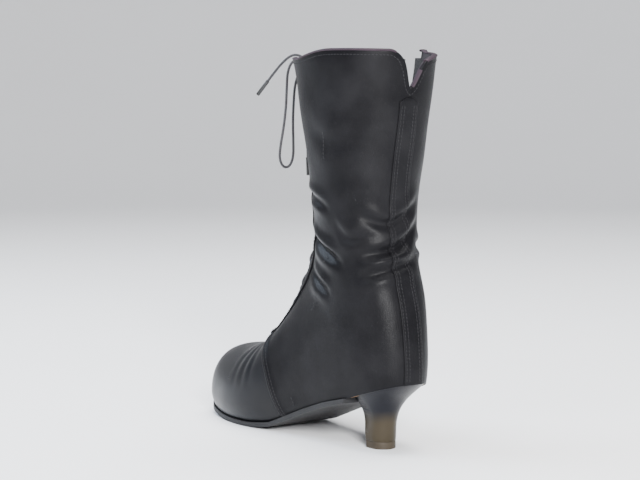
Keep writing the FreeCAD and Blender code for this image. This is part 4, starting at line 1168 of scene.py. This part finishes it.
class BootStitchSettings(bpy.types.PropertyGroup):
    stitch_length: length("Stitch", "Length of a stitch", 0.0021)
    stitch_pitch: length("Pitch", "Distance from stitch to stitch", 0.0027)
    thread: length("Thread", "Thickness of the thread", 0.0006)
    row_gap: length("Row gap", "Distance between the two rows of a double seam", 0.0023)
    dye: colour("Thread colour", "Colour of the thread", (0.0075, 0.0072, 0.0085))


class BootLaceSettings(bpy.types.PropertyGroup):
    diameter: length("Lace", "Diameter of the round lace", 0.002)
    dye: colour("Lace colour", "Colour of the braid", (0.024, 0.023, 0.027))
    plait: length("Plait", "Length of one turn of the braid's strands", 0.0024)


class BootMetalSettings(bpy.types.PropertyGroup):
    eyelet: colour("Eyelets", "Colour of the eyelets", (0.075, 0.073, 0.078))
    zip: colour("Zip metal", "Colour of the slider and stops", (0.2, 0.195, 0.19))
    rounding: length("Rounding", "Width of the rounded edges of metal pieces", 0.00022)


class BootHeelSettings(bpy.types.PropertyGroup):
    # upper and lower: the covering's black, painted darker under the seat as shade and lighter brown-grey
    # towards the tip as painted light and a painted brown reflection.
    upper: colour("Heel", "Colour of the heel's covering under the seat", (0.0065, 0.0068, 0.0095))
    lower: colour("Heel foot", "Colour of the heel's covering towards its tip", (0.032, 0.025, 0.015))
    tip: colour("Tip", "Colour of the top piece", (0.030, 0.023, 0.015))
    sole: colour("Sole", "Colour of the outsole", (0.011, 0.011, 0.012))


class BootStageSettings(bpy.types.PropertyGroup):
    floor: colour("Floor", "Colour of the floor", (0.93, 0.93, 0.94))
    turn: bpy.props.FloatProperty(name="Turn", description="Camera's turn about the boot, from straight "
                                  "behind", default=math.radians(-36), subtype="ANGLE")
    rise: bpy.props.FloatProperty(name="Rise", description="Camera's angle above the floor",
                                  default=math.radians(5), subtype="ANGLE")
    reach: length("Distance", "Camera's distance from the boot's middle", 1.5)
    lens: bpy.props.FloatProperty(name="Lens", description="Focal length in millimetres", default=108, min=20)
    key: bpy.props.FloatProperty(name="Key light", description="Power of the main softbox in watts",
                                 default=115, min=0)


class BootSettings(bpy.types.PropertyGroup):
    leather: bpy.props.PointerProperty(type=BootLeatherSettings, name="Leather")
    stitching: bpy.props.PointerProperty(type=BootStitchSettings, name="Stitching")
    laces: bpy.props.PointerProperty(type=BootLaceSettings, name="Laces")
    metal: bpy.props.PointerProperty(type=BootMetalSettings, name="Metal")
    heel: bpy.props.PointerProperty(type=BootHeelSettings, name="Heel")
    stage: bpy.props.PointerProperty(type=BootStageSettings, name="Stage")


def settings():
    return bpy.context.scene.boot


# ------------------------------------------------------------------------------- operators
class BOOT_OT_stage(bpy.types.Operator):
    """Adds the camera, the pale floor that curves up all round, and soft studio lights"""
    bl_idname = "boot.stage"
    bl_label = "Stage"

    def execute(self, context):
        s = settings().stage
        target = Vector((0.004, 0.086, 0.150))
        away = Vector((math.sin(s.turn) * math.cos(s.rise), -math.cos(s.turn) * math.cos(s.rise),
                       math.sin(s.rise)))
        view = bpy.data.cameras.new("view")
        view.lens = s.lens
        camera = linked("view", view)
        camera.location = target + away * s.reach
        camera.rotation_euler = away.to_track_quat("Z", "Y").to_euler()
        context.scene.camera = camera

        profile = [(0.0, 0.0), (1.2, 0.0), (2.6, 0.0)]
        profile += [(2.6 + 1.5 * math.sin(a), 1.5 - 1.5 * math.cos(a))
                    for a in (math.radians(d) for d in range(8, 81, 8))]
        bm = bmesh.new()
        middle = bm.verts.new((0, 0, 0))
        rings = [[bm.verts.new((r * math.cos(t), r * math.sin(t), z))
                  for t in (2 * math.pi * k / 72 for k in range(72))] for r, z in profile[1:]]
        for k in range(72):
            bm.faces.new((middle, rings[0][k], rings[0][(k + 1) % 72]))
            for one, two in zip(rings, rings[1:]):
                bm.faces.new((one[k], two[k], two[(k + 1) % 72], one[(k + 1) % 72]))
        mesh = bpy.data.meshes.new("floor")
        bm.to_mesh(mesh)
        bm.free()
        floor = linked("floor", mesh)
        for face in mesh.polygons:
            face.use_smooth = True
        n = Nodes("floor")
        tone = tuple(s.floor)
        mottle = n.mix(n.noise(3.0, 2.0), tone, tuple(c * 0.97 for c in tone))
        dress(floor, n.finish(mottle, 0.75, n.bump(n.noise(700, 2.0), 0.0002, 0.15)))

        def softbox(name, turn, rise, reach, size, watts, tint=(1, 1, 1)):
            lamp = bpy.data.lights.new(name, "AREA")
            lamp.shape, lamp.size, lamp.size_y = "RECTANGLE", size[0], size[1]
            lamp.energy, lamp.color = watts, tint
            item = linked(name, lamp)
            a, e = math.radians(turn), math.radians(rise)
            out = Vector((math.sin(a) * math.cos(e), -math.cos(a) * math.cos(e), math.sin(e)))
            item.location = target + out * reach
            item.rotation_euler = out.to_track_quat("Z", "Y").to_euler()

        softbox("key", -27, 20, 2.2, (0.55, 0.5), s.key)
        softbox("side", -72, 42, 1.8, (0.8, 0.6), s.key * 0.08)
        softbox("front", -140, 38, 1.6, (1.2, 0.5), s.key * 0.25, (0.72, 0.84, 1.0))
        softbox("over", 120, 82, 2.0, (1.6, 1.6), s.key * 0.8)
        world = bpy.data.worlds.new("studio")
        context.scene.world = world
        world.use_nodes = True
        world.node_tree.nodes["Background"].inputs["Color"].default_value = (0.93, 0.95, 1.0, 1)
        world.node_tree.nodes["Background"].inputs["Strength"].default_value = 0.35
        return {"FINISHED"}


class BOOT_OT_finishes(bpy.types.Operator):
    """Makes the leathers, fabrics, rubbers and metals, and gives the hidden inner pieces theirs"""
    bl_idname = "boot.finishes"
    bl_label = "Finishes"

    def execute(self, context):
        s = settings()
        skin = s.leather
        worn = tuple(skin.worn)
        SURFACES.update({
            "shaft": make_leather("shaft_leather", tuple(skin.shaft), worn, skin.roughness),
            # The vamp's bluer colour carries a painted blue reflection.
            "vamp": make_leather("vamp_leather", tuple(skin.vamp), tuple(c * 0.7 for c in worn),
                                 skin.roughness - 0.06, 1000, 0.0, 0.00008, 0.12),
            # The binding's lighter purple-blue colour is a painted reflection along the collar's edge.
            "rim": make_leather("rim_leather", tuple(skin.rim), tuple(c * 1.5 for c in skin.rim), 0.5, 900),
            "lining": make_fabric("lining_fabric", tuple(skin.lining), tuple(c * 2 for c in skin.lining)),
            "thread": make_plastic("thread", tuple(s.stitching.dye), tuple(c * 1.5 for c in s.stitching.dye),
                                   0.6, 3000),
            "lace": make_braid("lace_braid", tuple(c * 0.45 for c in s.laces.dye), tuple(s.laces.dye), 3.0,
                               s.laces.plait / MM),
            "tag": make_plastic("tag_plastic", (0.02, 0.02, 0.02), (0.035, 0.035, 0.037), 0.22, 500, 0.00002),
            "eyelet": make_metal("eyelet_metal", tuple(s.metal.eyelet), 0.34, 0.14),
            "zip_metal": make_metal("zip_metal", tuple(s.metal.zip), 0.32),
            "steel": make_metal("steel", (0.5, 0.5, 0.5), 0.38),
            "coil": make_plastic("zip_coil", (0.014, 0.014, 0.015), (0.03, 0.03, 0.031), 0.4, 800),
            "tape": make_fabric("zip_tape", (0.012, 0.012, 0.013), (0.04, 0.04, 0.042), 0.0005),
            "sole": make_plastic("sole_rubber", tuple(s.heel.sole), tuple(c * 1.6 for c in s.heel.sole), 0.62,
                                 420, 0.00015),
            "tip": make_plastic("tip_rubber", tuple(s.heel.tip), tuple(c * 1.5 for c in s.heel.tip), 0.55,
                                500, 0.0001),
            # The heel's covering carries painted shade under the seat and painted light with a brown
            # reflection towards the tip.
            "heel": make_heel_with_painted_light("heel_cover", tuple(s.heel.upper), tuple(s.heel.lower)),
            "heel_plastic": make_plastic("heel_plastic", (0.05, 0.045, 0.04), (0.08, 0.07, 0.06), 0.5),
            "stiffener": make_fabric("fibre_sheet", (0.42, 0.36, 0.26), (0.6, 0.53, 0.4), 0.0011),
            "board": make_fabric("insole_board", (0.4, 0.29, 0.18), (0.55, 0.42, 0.27), 0.0009),
            "foam": make_plastic("foam", (0.68, 0.64, 0.54), (0.8, 0.77, 0.68), 0.9, 1500, 0.0003),
            "cork": make_cork("cork"),
        })
        hidden = {"vamp_lining": "lining", "toe_puff": "stiffener", "heel_counter": "stiffener",
                  "shank_rivets": "steel", "heel_screw": "steel", "heel_nails": "steel", "shank": "steel",
                  "tip_dowel": "steel", "bottom_filler": "cork", "insole_board": "board",
                  "insole_foam": "foam"}
        for node, name in hidden.items():
            for holder in bpy.data.objects[node].material_slots:
                holder.material = SURFACES[name]
        return {"FINISHED"}


# The free laces' route points, in metres.
OUTER_LOOP = [(-0.0032, 0.0919, 0.2886), (-0.0095, 0.0934, 0.2914), (-0.0155, 0.0954, 0.2894),
    (-0.0190, 0.0969, 0.2817), (-0.0195, 0.0974, 0.2692), (-0.0200, 0.0977, 0.2532),
    (-0.0220, 0.0982, 0.2372), (-0.0245, 0.0990, 0.2232), (-0.0248, 0.1000, 0.2137),
    (-0.0206, 0.1008, 0.2068), (-0.0144, 0.1010, 0.2072), (-0.0112, 0.1004, 0.2144),
    (-0.0120, 0.0992, 0.2262), (-0.0132, 0.0982, 0.2422), (-0.0130, 0.0974, 0.2582),
    (-0.0124, 0.0964, 0.2717), (-0.0090, 0.0946, 0.2822), (-0.0030, 0.0922, 0.2868)]
INNER_LOOP = [(0.0032, 0.0919, 0.2886), (0.0090, 0.0938, 0.2910), (0.0144, 0.0954, 0.2888),
    (0.0174, 0.0962, 0.2814), (0.0172, 0.0964, 0.2702), (0.0166, 0.0970, 0.2572),
    (0.0182, 0.0980, 0.2452), (0.0196, 0.0990, 0.2352), (0.0174, 0.1002, 0.2276),
    (0.0116, 0.1008, 0.2250), (0.0072, 0.1004, 0.2296), (0.0070, 0.0994, 0.2396),
    (0.0094, 0.0982, 0.2532), (0.0102, 0.0968, 0.2672), (0.0080, 0.0950, 0.2792),
    (0.0030, 0.0922, 0.2868)]
OUTER_END = [(-0.0024, 0.0936, 0.2892), (-0.0050, 0.0984, 0.2934), (-0.0084, 0.1048, 0.2944),
    (-0.0118, 0.1114, 0.2898), (-0.0154, 0.1179, 0.2822), (-0.0190, 0.1239, 0.2737)]
INNER_END = [(0.0022, 0.0936, 0.2870), (0.0052, 0.0978, 0.2846), (0.0072, 0.1012, 0.2772),
    (0.0060, 0.1024, 0.2652), (0.0034, 0.1016, 0.2482), (0.0022, 0.1008, 0.2312),
    (0.0026, 0.1004, 0.2142)]

class BOOT_OT_free_laces(bpy.types.Operator):
    """Hangs the bow's two loops and the two lace ends from the knot, with their tags"""
    bl_idname = "boot.free_laces"
    bl_label = "Bow and lace ends"

    def execute(self, context):
        thick = settings().laces.diameter
        tags = {}
        for name in ("outer_tag", "inner_tag"):
            tags[name] = soften(name + "_cap", name, 0.25, "tag", "tag_plastic")
        for name, points, far_end, pieces in (
                ("outer_loop", OUTER_LOOP, "object", []), ("inner_loop", INNER_LOOP, "object", []),
                ("outer_end", OUTER_END, "fitting", [tags["outer_tag"]]),
                ("inner_end", INNER_END, "fitting", [tags["inner_tag"]])):
            line = along_nurbs(points)
            item = rides(dress(sweep(name + "_lace", line / MM, thick / 2 / MM, 14), SURFACES["lace"]),
                         "boot", name, slot="lace_cord")
        return {"FINISHED"}


class BOOT_OT_vamp(bpy.types.Operator):
    """Builds the vamp, which wraps the toes and the ball of the foot"""
    bl_idname = "boot.vamp"
    bl_label = "Vamp"

    def execute(self, context):
        sheet("vamp_leather", "vamp", formed("vamp"), LEATHER, "vamp", "upper_leather")
        return {"FINISHED"}


class BOOT_OT_quarters(bpy.types.Operator):
    """Builds the three leather quarters of the shaft, creased at the ankle"""
    bl_idname = "boot.quarters"
    bl_label = "Quarters"

    def execute(self, context):
        for name, node in (("outer", "outer_quarter"), ("inner_front", "inner_front_quarter"),
                           ("inner_rear", "inner_rear_quarter")):
            sheet(node + "_leather", node, formed(name), LEATHER, "shaft", "shaft_leather", lap)
        return {"FINISHED"}


class BOOT_OT_facings(bpy.types.Operator):
    """Builds the eyelet facings down both sides of the throat, and the backstay"""
    bl_idname = "boot.facings"
    bl_label = "Facings and backstay"

    def execute(self, context):
        shell = formed("facings")
        front = clip(shell, within(shell, is_front(shell.points), THROAT + FACING))
        front = clip(front, behind_vamp(front.points) - 0.6)
        for name, side in (("outer_facing", -1), ("inner_facing", 1)):
            piece = clip(front, side * front.points[:, 0])
            sheet(name + "_leather", name, piece, (1.15, 0.05), "shaft", "upper_leather", lap)
        back = clip(shell, within(shell, ~is_front(shell.points), BACKSTAY))
        top = NOTCH_FOOT - 4 - 0.05 * back.points[:, 0] ** 2
        back = clip(back, top - back.points[:, 2])
        sheet("backstay_leather", "backstay", back, (1.1, 0.05), "shaft", "upper_leather")
        return {"FINISHED"}


class BOOT_OT_lining(bpy.types.Operator):
    """Builds the woven lining of the shaft and the insock"""
    bl_idname = "boot.lining"
    bl_label = "Lining"

    def execute(self, context):
        inner = clip(formed("slitless"), outside_slit(formed("slitless").points, 10.8, -9.3))
        pieces = {"outer_lining": formed("outer"),
                  "inner_front_lining": clip(inner, inner.points[:, 1] - 25.1),
                  "inner_rear_lining": clip(inner, 24.9 - inner.points[:, 1])}
        for node, patch in pieces.items():
            patch = clip(patch, below_collar(patch.points) - 0.4)
            sheet(node + "_cloth", node, patch, LINING, "lining", "lining_fabric")
        soften("insock", "sock_lining", 0, "lining", "lining_fabric")
        return {"FINISHED"}


class BOOT_OT_tongue(bpy.types.Operator):
    """Builds the tongue behind the laces"""
    bl_idname = "boot.tongue"
    bl_label = "Tongue"

    def execute(self, context):
        patch = base_patch()
        patch = clip(patch, within(patch, is_front(patch.points), 26.0))
        low = np.array([(60, 62), (28, 140), (20, 200), (20, 300)], float)
        high = 296 - 0.036 * (patch.points[:, 1] - 20) - 0.008 * patch.points[:, 0] ** 2
        patch = clip(patch, np.minimum(high - patch.points[:, 2], 118 - patch.points[:, 1]))
        patch = clip(patch, patch.points[:, 2] - 62)
        patch = clip(patch, patch.points[:, 1] - np.interp(patch.points[:, 2], low[:, 1], low[:, 0]))

        def sink(p):
            rows = np.interp(p[:, 2], [62, 84, 108], [0.0, 0.25, 1.0])
            return (LINING[1] - 0.3) * (1 - rows) + TONGUE[0] * rows

        sheet("tongue_leather", "tongue", patch, (0.0, TONGUE[1] - TONGUE[0]), "shaft", "shaft_leather", sink)
        return {"FINISHED"}


class BOOT_OT_collar(bpy.types.Operator):
    """Folds a thin binding over the collar's edge"""
    bl_idname = "boot.collar"
    bl_label = "Collar binding"

    def execute(self, context):
        wide = settings().leather.rim_width / 2 / MM
        made = []
        for name in ("outer", "inner_front", "inner_rear"):
            patch = formed(name)
            close = np.abs(below_collar(patch.points)) < 0.12
            edges = [(a, b) for a, b in open_edges(patch) if close[a] and close[b]]
            for run in chains(edges):
                points, normals = patch.points[run], patch.normals[run]
                if np.sum(np.linalg.norm(np.diff(points, axis=0), axis=1)) < 12:
                    continue
                line = smooth_line(standing(points, normals, -1.75), 2)
                made.append(sweep("binding_part", line, wide, 12, smooth_line(normals, 4), 2.25 / wide))
        rides(dress(join(made, "collar_binding"), SURFACES["rim"]), "boot", slot="upper_leather")
        return {"FINISHED"}


def join(items, name):
    """Several meshes as one object."""
    bm = bmesh.new()
    for item in items:
        bm.from_mesh(item.data)
    for item in items:
        bpy.data.objects.remove(item)
    return shade(from_bmesh(name, bm), 50)


class BOOT_OT_stitching(bpy.types.Operator):
    """Sews the vamp seam, the facings, the backstay, the zip's edges and the collar"""
    bl_idname = "boot.stitching"
    bl_label = "Stitching"

    def execute(self, context):
        s = settings().stitching
        gap = s.row_gap / MM
        shell = formed("facings")

        def off_facing(p):
            return ~(is_front(p) & (np.abs(p[:, 0]) < THROAT + FACING + 0.5))

        vamp = []
        for offset in (1.7, 1.7 + gap):
            vamp += seam_lines(shell, lambda p: behind_vamp(p) - offset, 0.08, off_facing)
        stitch_rows("vamp_stitches", vamp, s)
        facing = []
        for inset in (1.5, FACING - 1.5, FACING - 1.5 - gap):
            facing += seam_lines(
                shell, lambda p: np.where(is_front(p), np.abs(p[:, 0]) - THROAT - inset, 40.0), 1.22,
                lambda p: is_front(p) & (below_collar(p) > 2) & (behind_vamp(p) > 1.8))
        stitch_rows("facing_stitches", facing, s, slot="upper_leather")
        back = []
        for inset in (1.3, 1.3 + gap):
            back += seam_lines(
                shell, lambda p: np.where(is_front(p), 40.0, BACKSTAY - inset - np.abs(p[:, 0])), 1.17,
                lambda p: ~is_front(p) & (p[:, 2] < NOTCH_FOOT - 8) & (above_feather(p) > 3), standing)
        stitch_rows("backstay_stitches", back, s, slot="upper_leather")
        collar = []
        for name in ("outer", "inner_front", "inner_rear"):
            collar += seam_lines(formed(name), lambda p: below_collar(p) - 3.4, 0.06, off_facing)
        stitch_rows("collar_stitches", collar, s)
        slit = []
        for offset in (2.0, 2.0 + gap):
            slit += seam_lines(formed("slitless"), lambda p: outside_slit(p) - offset, 0.06,
                               lambda p: (below_collar(p) > 2) & (p[:, 0] > 5))
        stitch_rows("zip_stitches", slit, s)
        return {"FINISHED"}


class BOOT_OT_eyelets(bpy.types.Operator):
    """Sets twenty rolled eyelets in the facings"""
    bl_idname = "boot.eyelets"
    bl_label = "Eyelets"

    def execute(self, context):
        profile = [(2.1, -4.9), (2.1, 0.6), (2.2, 1.25), (2.55, 1.72), (3.1, 1.85), (3.6, 1.7), (3.85, 1.4),
                   (3.9, 1.12), (3.0, 1.1), (2.6, 0.9), (2.6, -4.3), (3.6, -4.35), (3.9, -4.6), (3.6, -4.9)]
        bm = bmesh.new()
        rings = [[bm.verts.new((r * math.cos(t) * MM, r * math.sin(t) * MM, z * MM))
                  for t in (2 * math.pi * k / 28 for k in range(28))] for r, z in profile]
        for one, two in zip(rings, rings[1:] + rings[:1]):
            for k in range(28):
                bm.faces.new((one[k], one[(k + 1) % 28], two[(k + 1) % 28], two[k]))
        bmesh.ops.recalc_face_normals(bm, faces=bm.faces)
        grow("eyelet_rings", point_tree(), [eyelet_seats()],
             {"Piece": from_bmesh("eyelet_unit", bm), "Finish": SURFACES["eyelet"]}, ("eyelets",),
             "eyelet_metal")
        return {"FINISHED"}


class BOOT_OT_lacing(bpy.types.Operator):
    """Laces the throat criss-cross and ties the knot"""
    bl_idname = "boot.lacing"
    bl_label = "Lacing and knot"

    def execute(self, context):
        half = settings().laces.diameter / 2 / MM
        for side, node in ((-1, "lace_outer_start"), (1, "lace_inner_start")):
            line = along_nurbs(lace_route(side) * MM, 8) / MM
            rides(dress(sweep(node + "_braid", line, half, 12), SURFACES["lace"]), "boot", node,
                  slot="lace_cord")
        turns = np.linspace(0, 2 * math.pi * 2.6, 70)
        bend = np.linspace(0, 2 * math.pi, 60)
        wrap = (0.95 * (turns / turns[-1] - 0.5) * 4.2, 2.75 * np.cos(turns), 3.05 * np.sin(turns))
        eight = (3.4 * np.sin(bend), 1.0 + 1.5 * np.cos(bend), 1.7 * np.sin(2 * bend))
        loop = (2.3 * np.cos(bend), -0.7 + 1.6 * np.sin(bend), 2.6 * np.sin(bend + 0.6))
        coils = [sweep("coil", lacing()["knot"] + np.column_stack(path), half * thick, 12)
                 for path, thick in ((wrap, 1.05), (eight, 1.05), (loop, 1.1))]
        rides(dress(join(coils, "tied_knot"), SURFACES["lace"]), "boot", "bow_knot", slot="lace_cord")
        return {"FINISHED"}


class BOOT_OT_bottom(bpy.types.Operator):
    """Rounds and finishes the outsole, the heel's core and covering, and the top piece"""
    bl_idname = "boot.bottom"
    bl_label = "Sole and heel"

    def execute(self, context):
        soften("sole", "outsole", 0.7, "sole", "sole", 3)
        soften("heel_core", "heel_block", 0.3, "heel_plastic", "heel_plastic")
        soften("heel_covering", "heel_cover", 0.12, "heel", "heel_cover", 1)
        soften("heel_tip", "top_piece", 0.5, "tip", "tip_rubber", 3)
        return {"FINISHED"}


class BOOT_OT_zip(bpy.types.Operator):
    """Builds the zip: woven tapes, coil teeth, stops, slider and pull"""
    bl_idname = "boot.zip"
    bl_label = "Zip"

    def execute(self, context):
        width = settings().metal.rounding / MM
        for side, label in ((1, "front"), (-1, "rear")):
            s = np.linspace(-9.0, ZIP_LONG + 3.0, 120)
            inside = 1.0 + zip_spread(s)
            rows = []
            for depth in (-2.8, -3.3):
                for across in np.linspace(0, 9.5, 6):
                    rows.append([zip_at(depth + 0.12 * math.sin(0.35 * k + across), side * (i + across), u)
                                 for k, (i, u) in enumerate(zip(inside, s))])
            grid = np.array(rows)
            count = grid.shape[1]
            faces = []
            loop = [0, 1, 2, 3, 4, 5, 11, 10, 9, 8, 7, 6]
            for a, b in zip(loop, loop[1:] + loop[:1]):
                for k in range(count - 1):
                    faces.append((a * count + k, b * count + k, b * count + k + 1, a * count + k + 1))
            ends = [tuple(r * count for r in loop), tuple(r * count + count - 1 for r in loop[::-1])]
            item = outward(mesh_object("zip_tape_cloth_" + label, grid.reshape(-1, 3), faces + ends))
            rides(dress(shade(item, 40), SURFACES["tape"]), "boot", "zip_tape_" + label, slot="zip_tape")

            wire = 0.3
            bent = [(1.25, 0.0, -0.55), (0.7, 0.0, -0.7), (-0.75, 0.0, -0.62), (-1.15, 0.1, -0.1),
                    (-0.8, 0.2, 0.55), (0.3, 0.25, 0.72), (1.3, 0.3, 0.5)]
            unit = tube_unit("tooth_unit", [[(x + wire * math.cos(t), side * y, z + wire * math.sin(t))
                                             for t in SIXTHS] for y, x, z in bent])
            s = np.linspace(0.4, ZIP_LONG - 0.4, 60) + (0.6 if side < 0 else 0)
            line = np.array([zip_at(-1.85, side * (1.72 + w), u) for w, u in zip(zip_spread(s), s)])
            grow("zip_coil_" + label, row_tree(), [(line, np.tile(ZIP_OUT, (len(line), 1)))],
                 {"Piece": unit, "Pitch": COIL_PITCH, "Length": 1.0, "Finish": SURFACES["coil"]},
                 ("zip_teeth_" + label,), "zip_coil")
        for name, node, rounding, body in (("zip_stop_low", "zip_bottom_stop", width, "boot"),
                                           ("zip_stops_high", "zip_top_stops", width, "boot"),
                                           ("zip_slider_metal", "zip_slider", width, "slider"),
                                           ("zip_pull_metal", "zip_pull", width * 0.8, "pull")):
            soften(name, node, rounding, "zip_metal", "zip_metal", body=body)
        return {"FINISHED"}


class BOOT_PT_panel(bpy.types.Panel):
    """The boot's pieces and their settings"""
    bl_idname = "BOOT_PT_panel"
    bl_label = "Laced ankle boot"
    bl_space_type = "VIEW_3D"
    bl_region_type = "UI"
    bl_category = "Boot"

    def draw(self, context):
        for group in ("leather", "stitching", "laces", "metal", "heel", "stage"):
            box = self.layout.box()
            box.label(text=group.capitalize())
            values = getattr(context.scene.boot, group)
            for key in values.__annotations__:
                box.prop(values, key)
        for operator in OPERATORS:
            self.layout.operator(operator.bl_idname)


GROUPS = [BootLeatherSettings, BootStitchSettings, BootLaceSettings, BootMetalSettings, BootHeelSettings,
          BootStageSettings, BootSettings]
OPERATORS = [BOOT_OT_stage, BOOT_OT_finishes, BOOT_OT_free_laces, BOOT_OT_vamp, BOOT_OT_quarters,
             BOOT_OT_facings, BOOT_OT_lining, BOOT_OT_tongue, BOOT_OT_collar, BOOT_OT_stitching,
             BOOT_OT_eyelets, BOOT_OT_lacing, BOOT_OT_bottom, BOOT_OT_zip]


def register():
    for item in GROUPS + OPERATORS + [BOOT_PT_panel]:
        bpy.utils.register_class(item)
    bpy.types.Scene.boot = bpy.props.PointerProperty(type=BootSettings)


def unregister():
    del bpy.types.Scene.boot
    for item in reversed(GROUPS + OPERATORS + [BOOT_PT_panel]):
        bpy.utils.unregister_class(item)


def main():
    register()
    for operator in OPERATORS:
        group, name = operator.bl_idname.split(".")
        getattr(getattr(bpy.ops, group), name)()


if __name__ == "__main__":
    main()
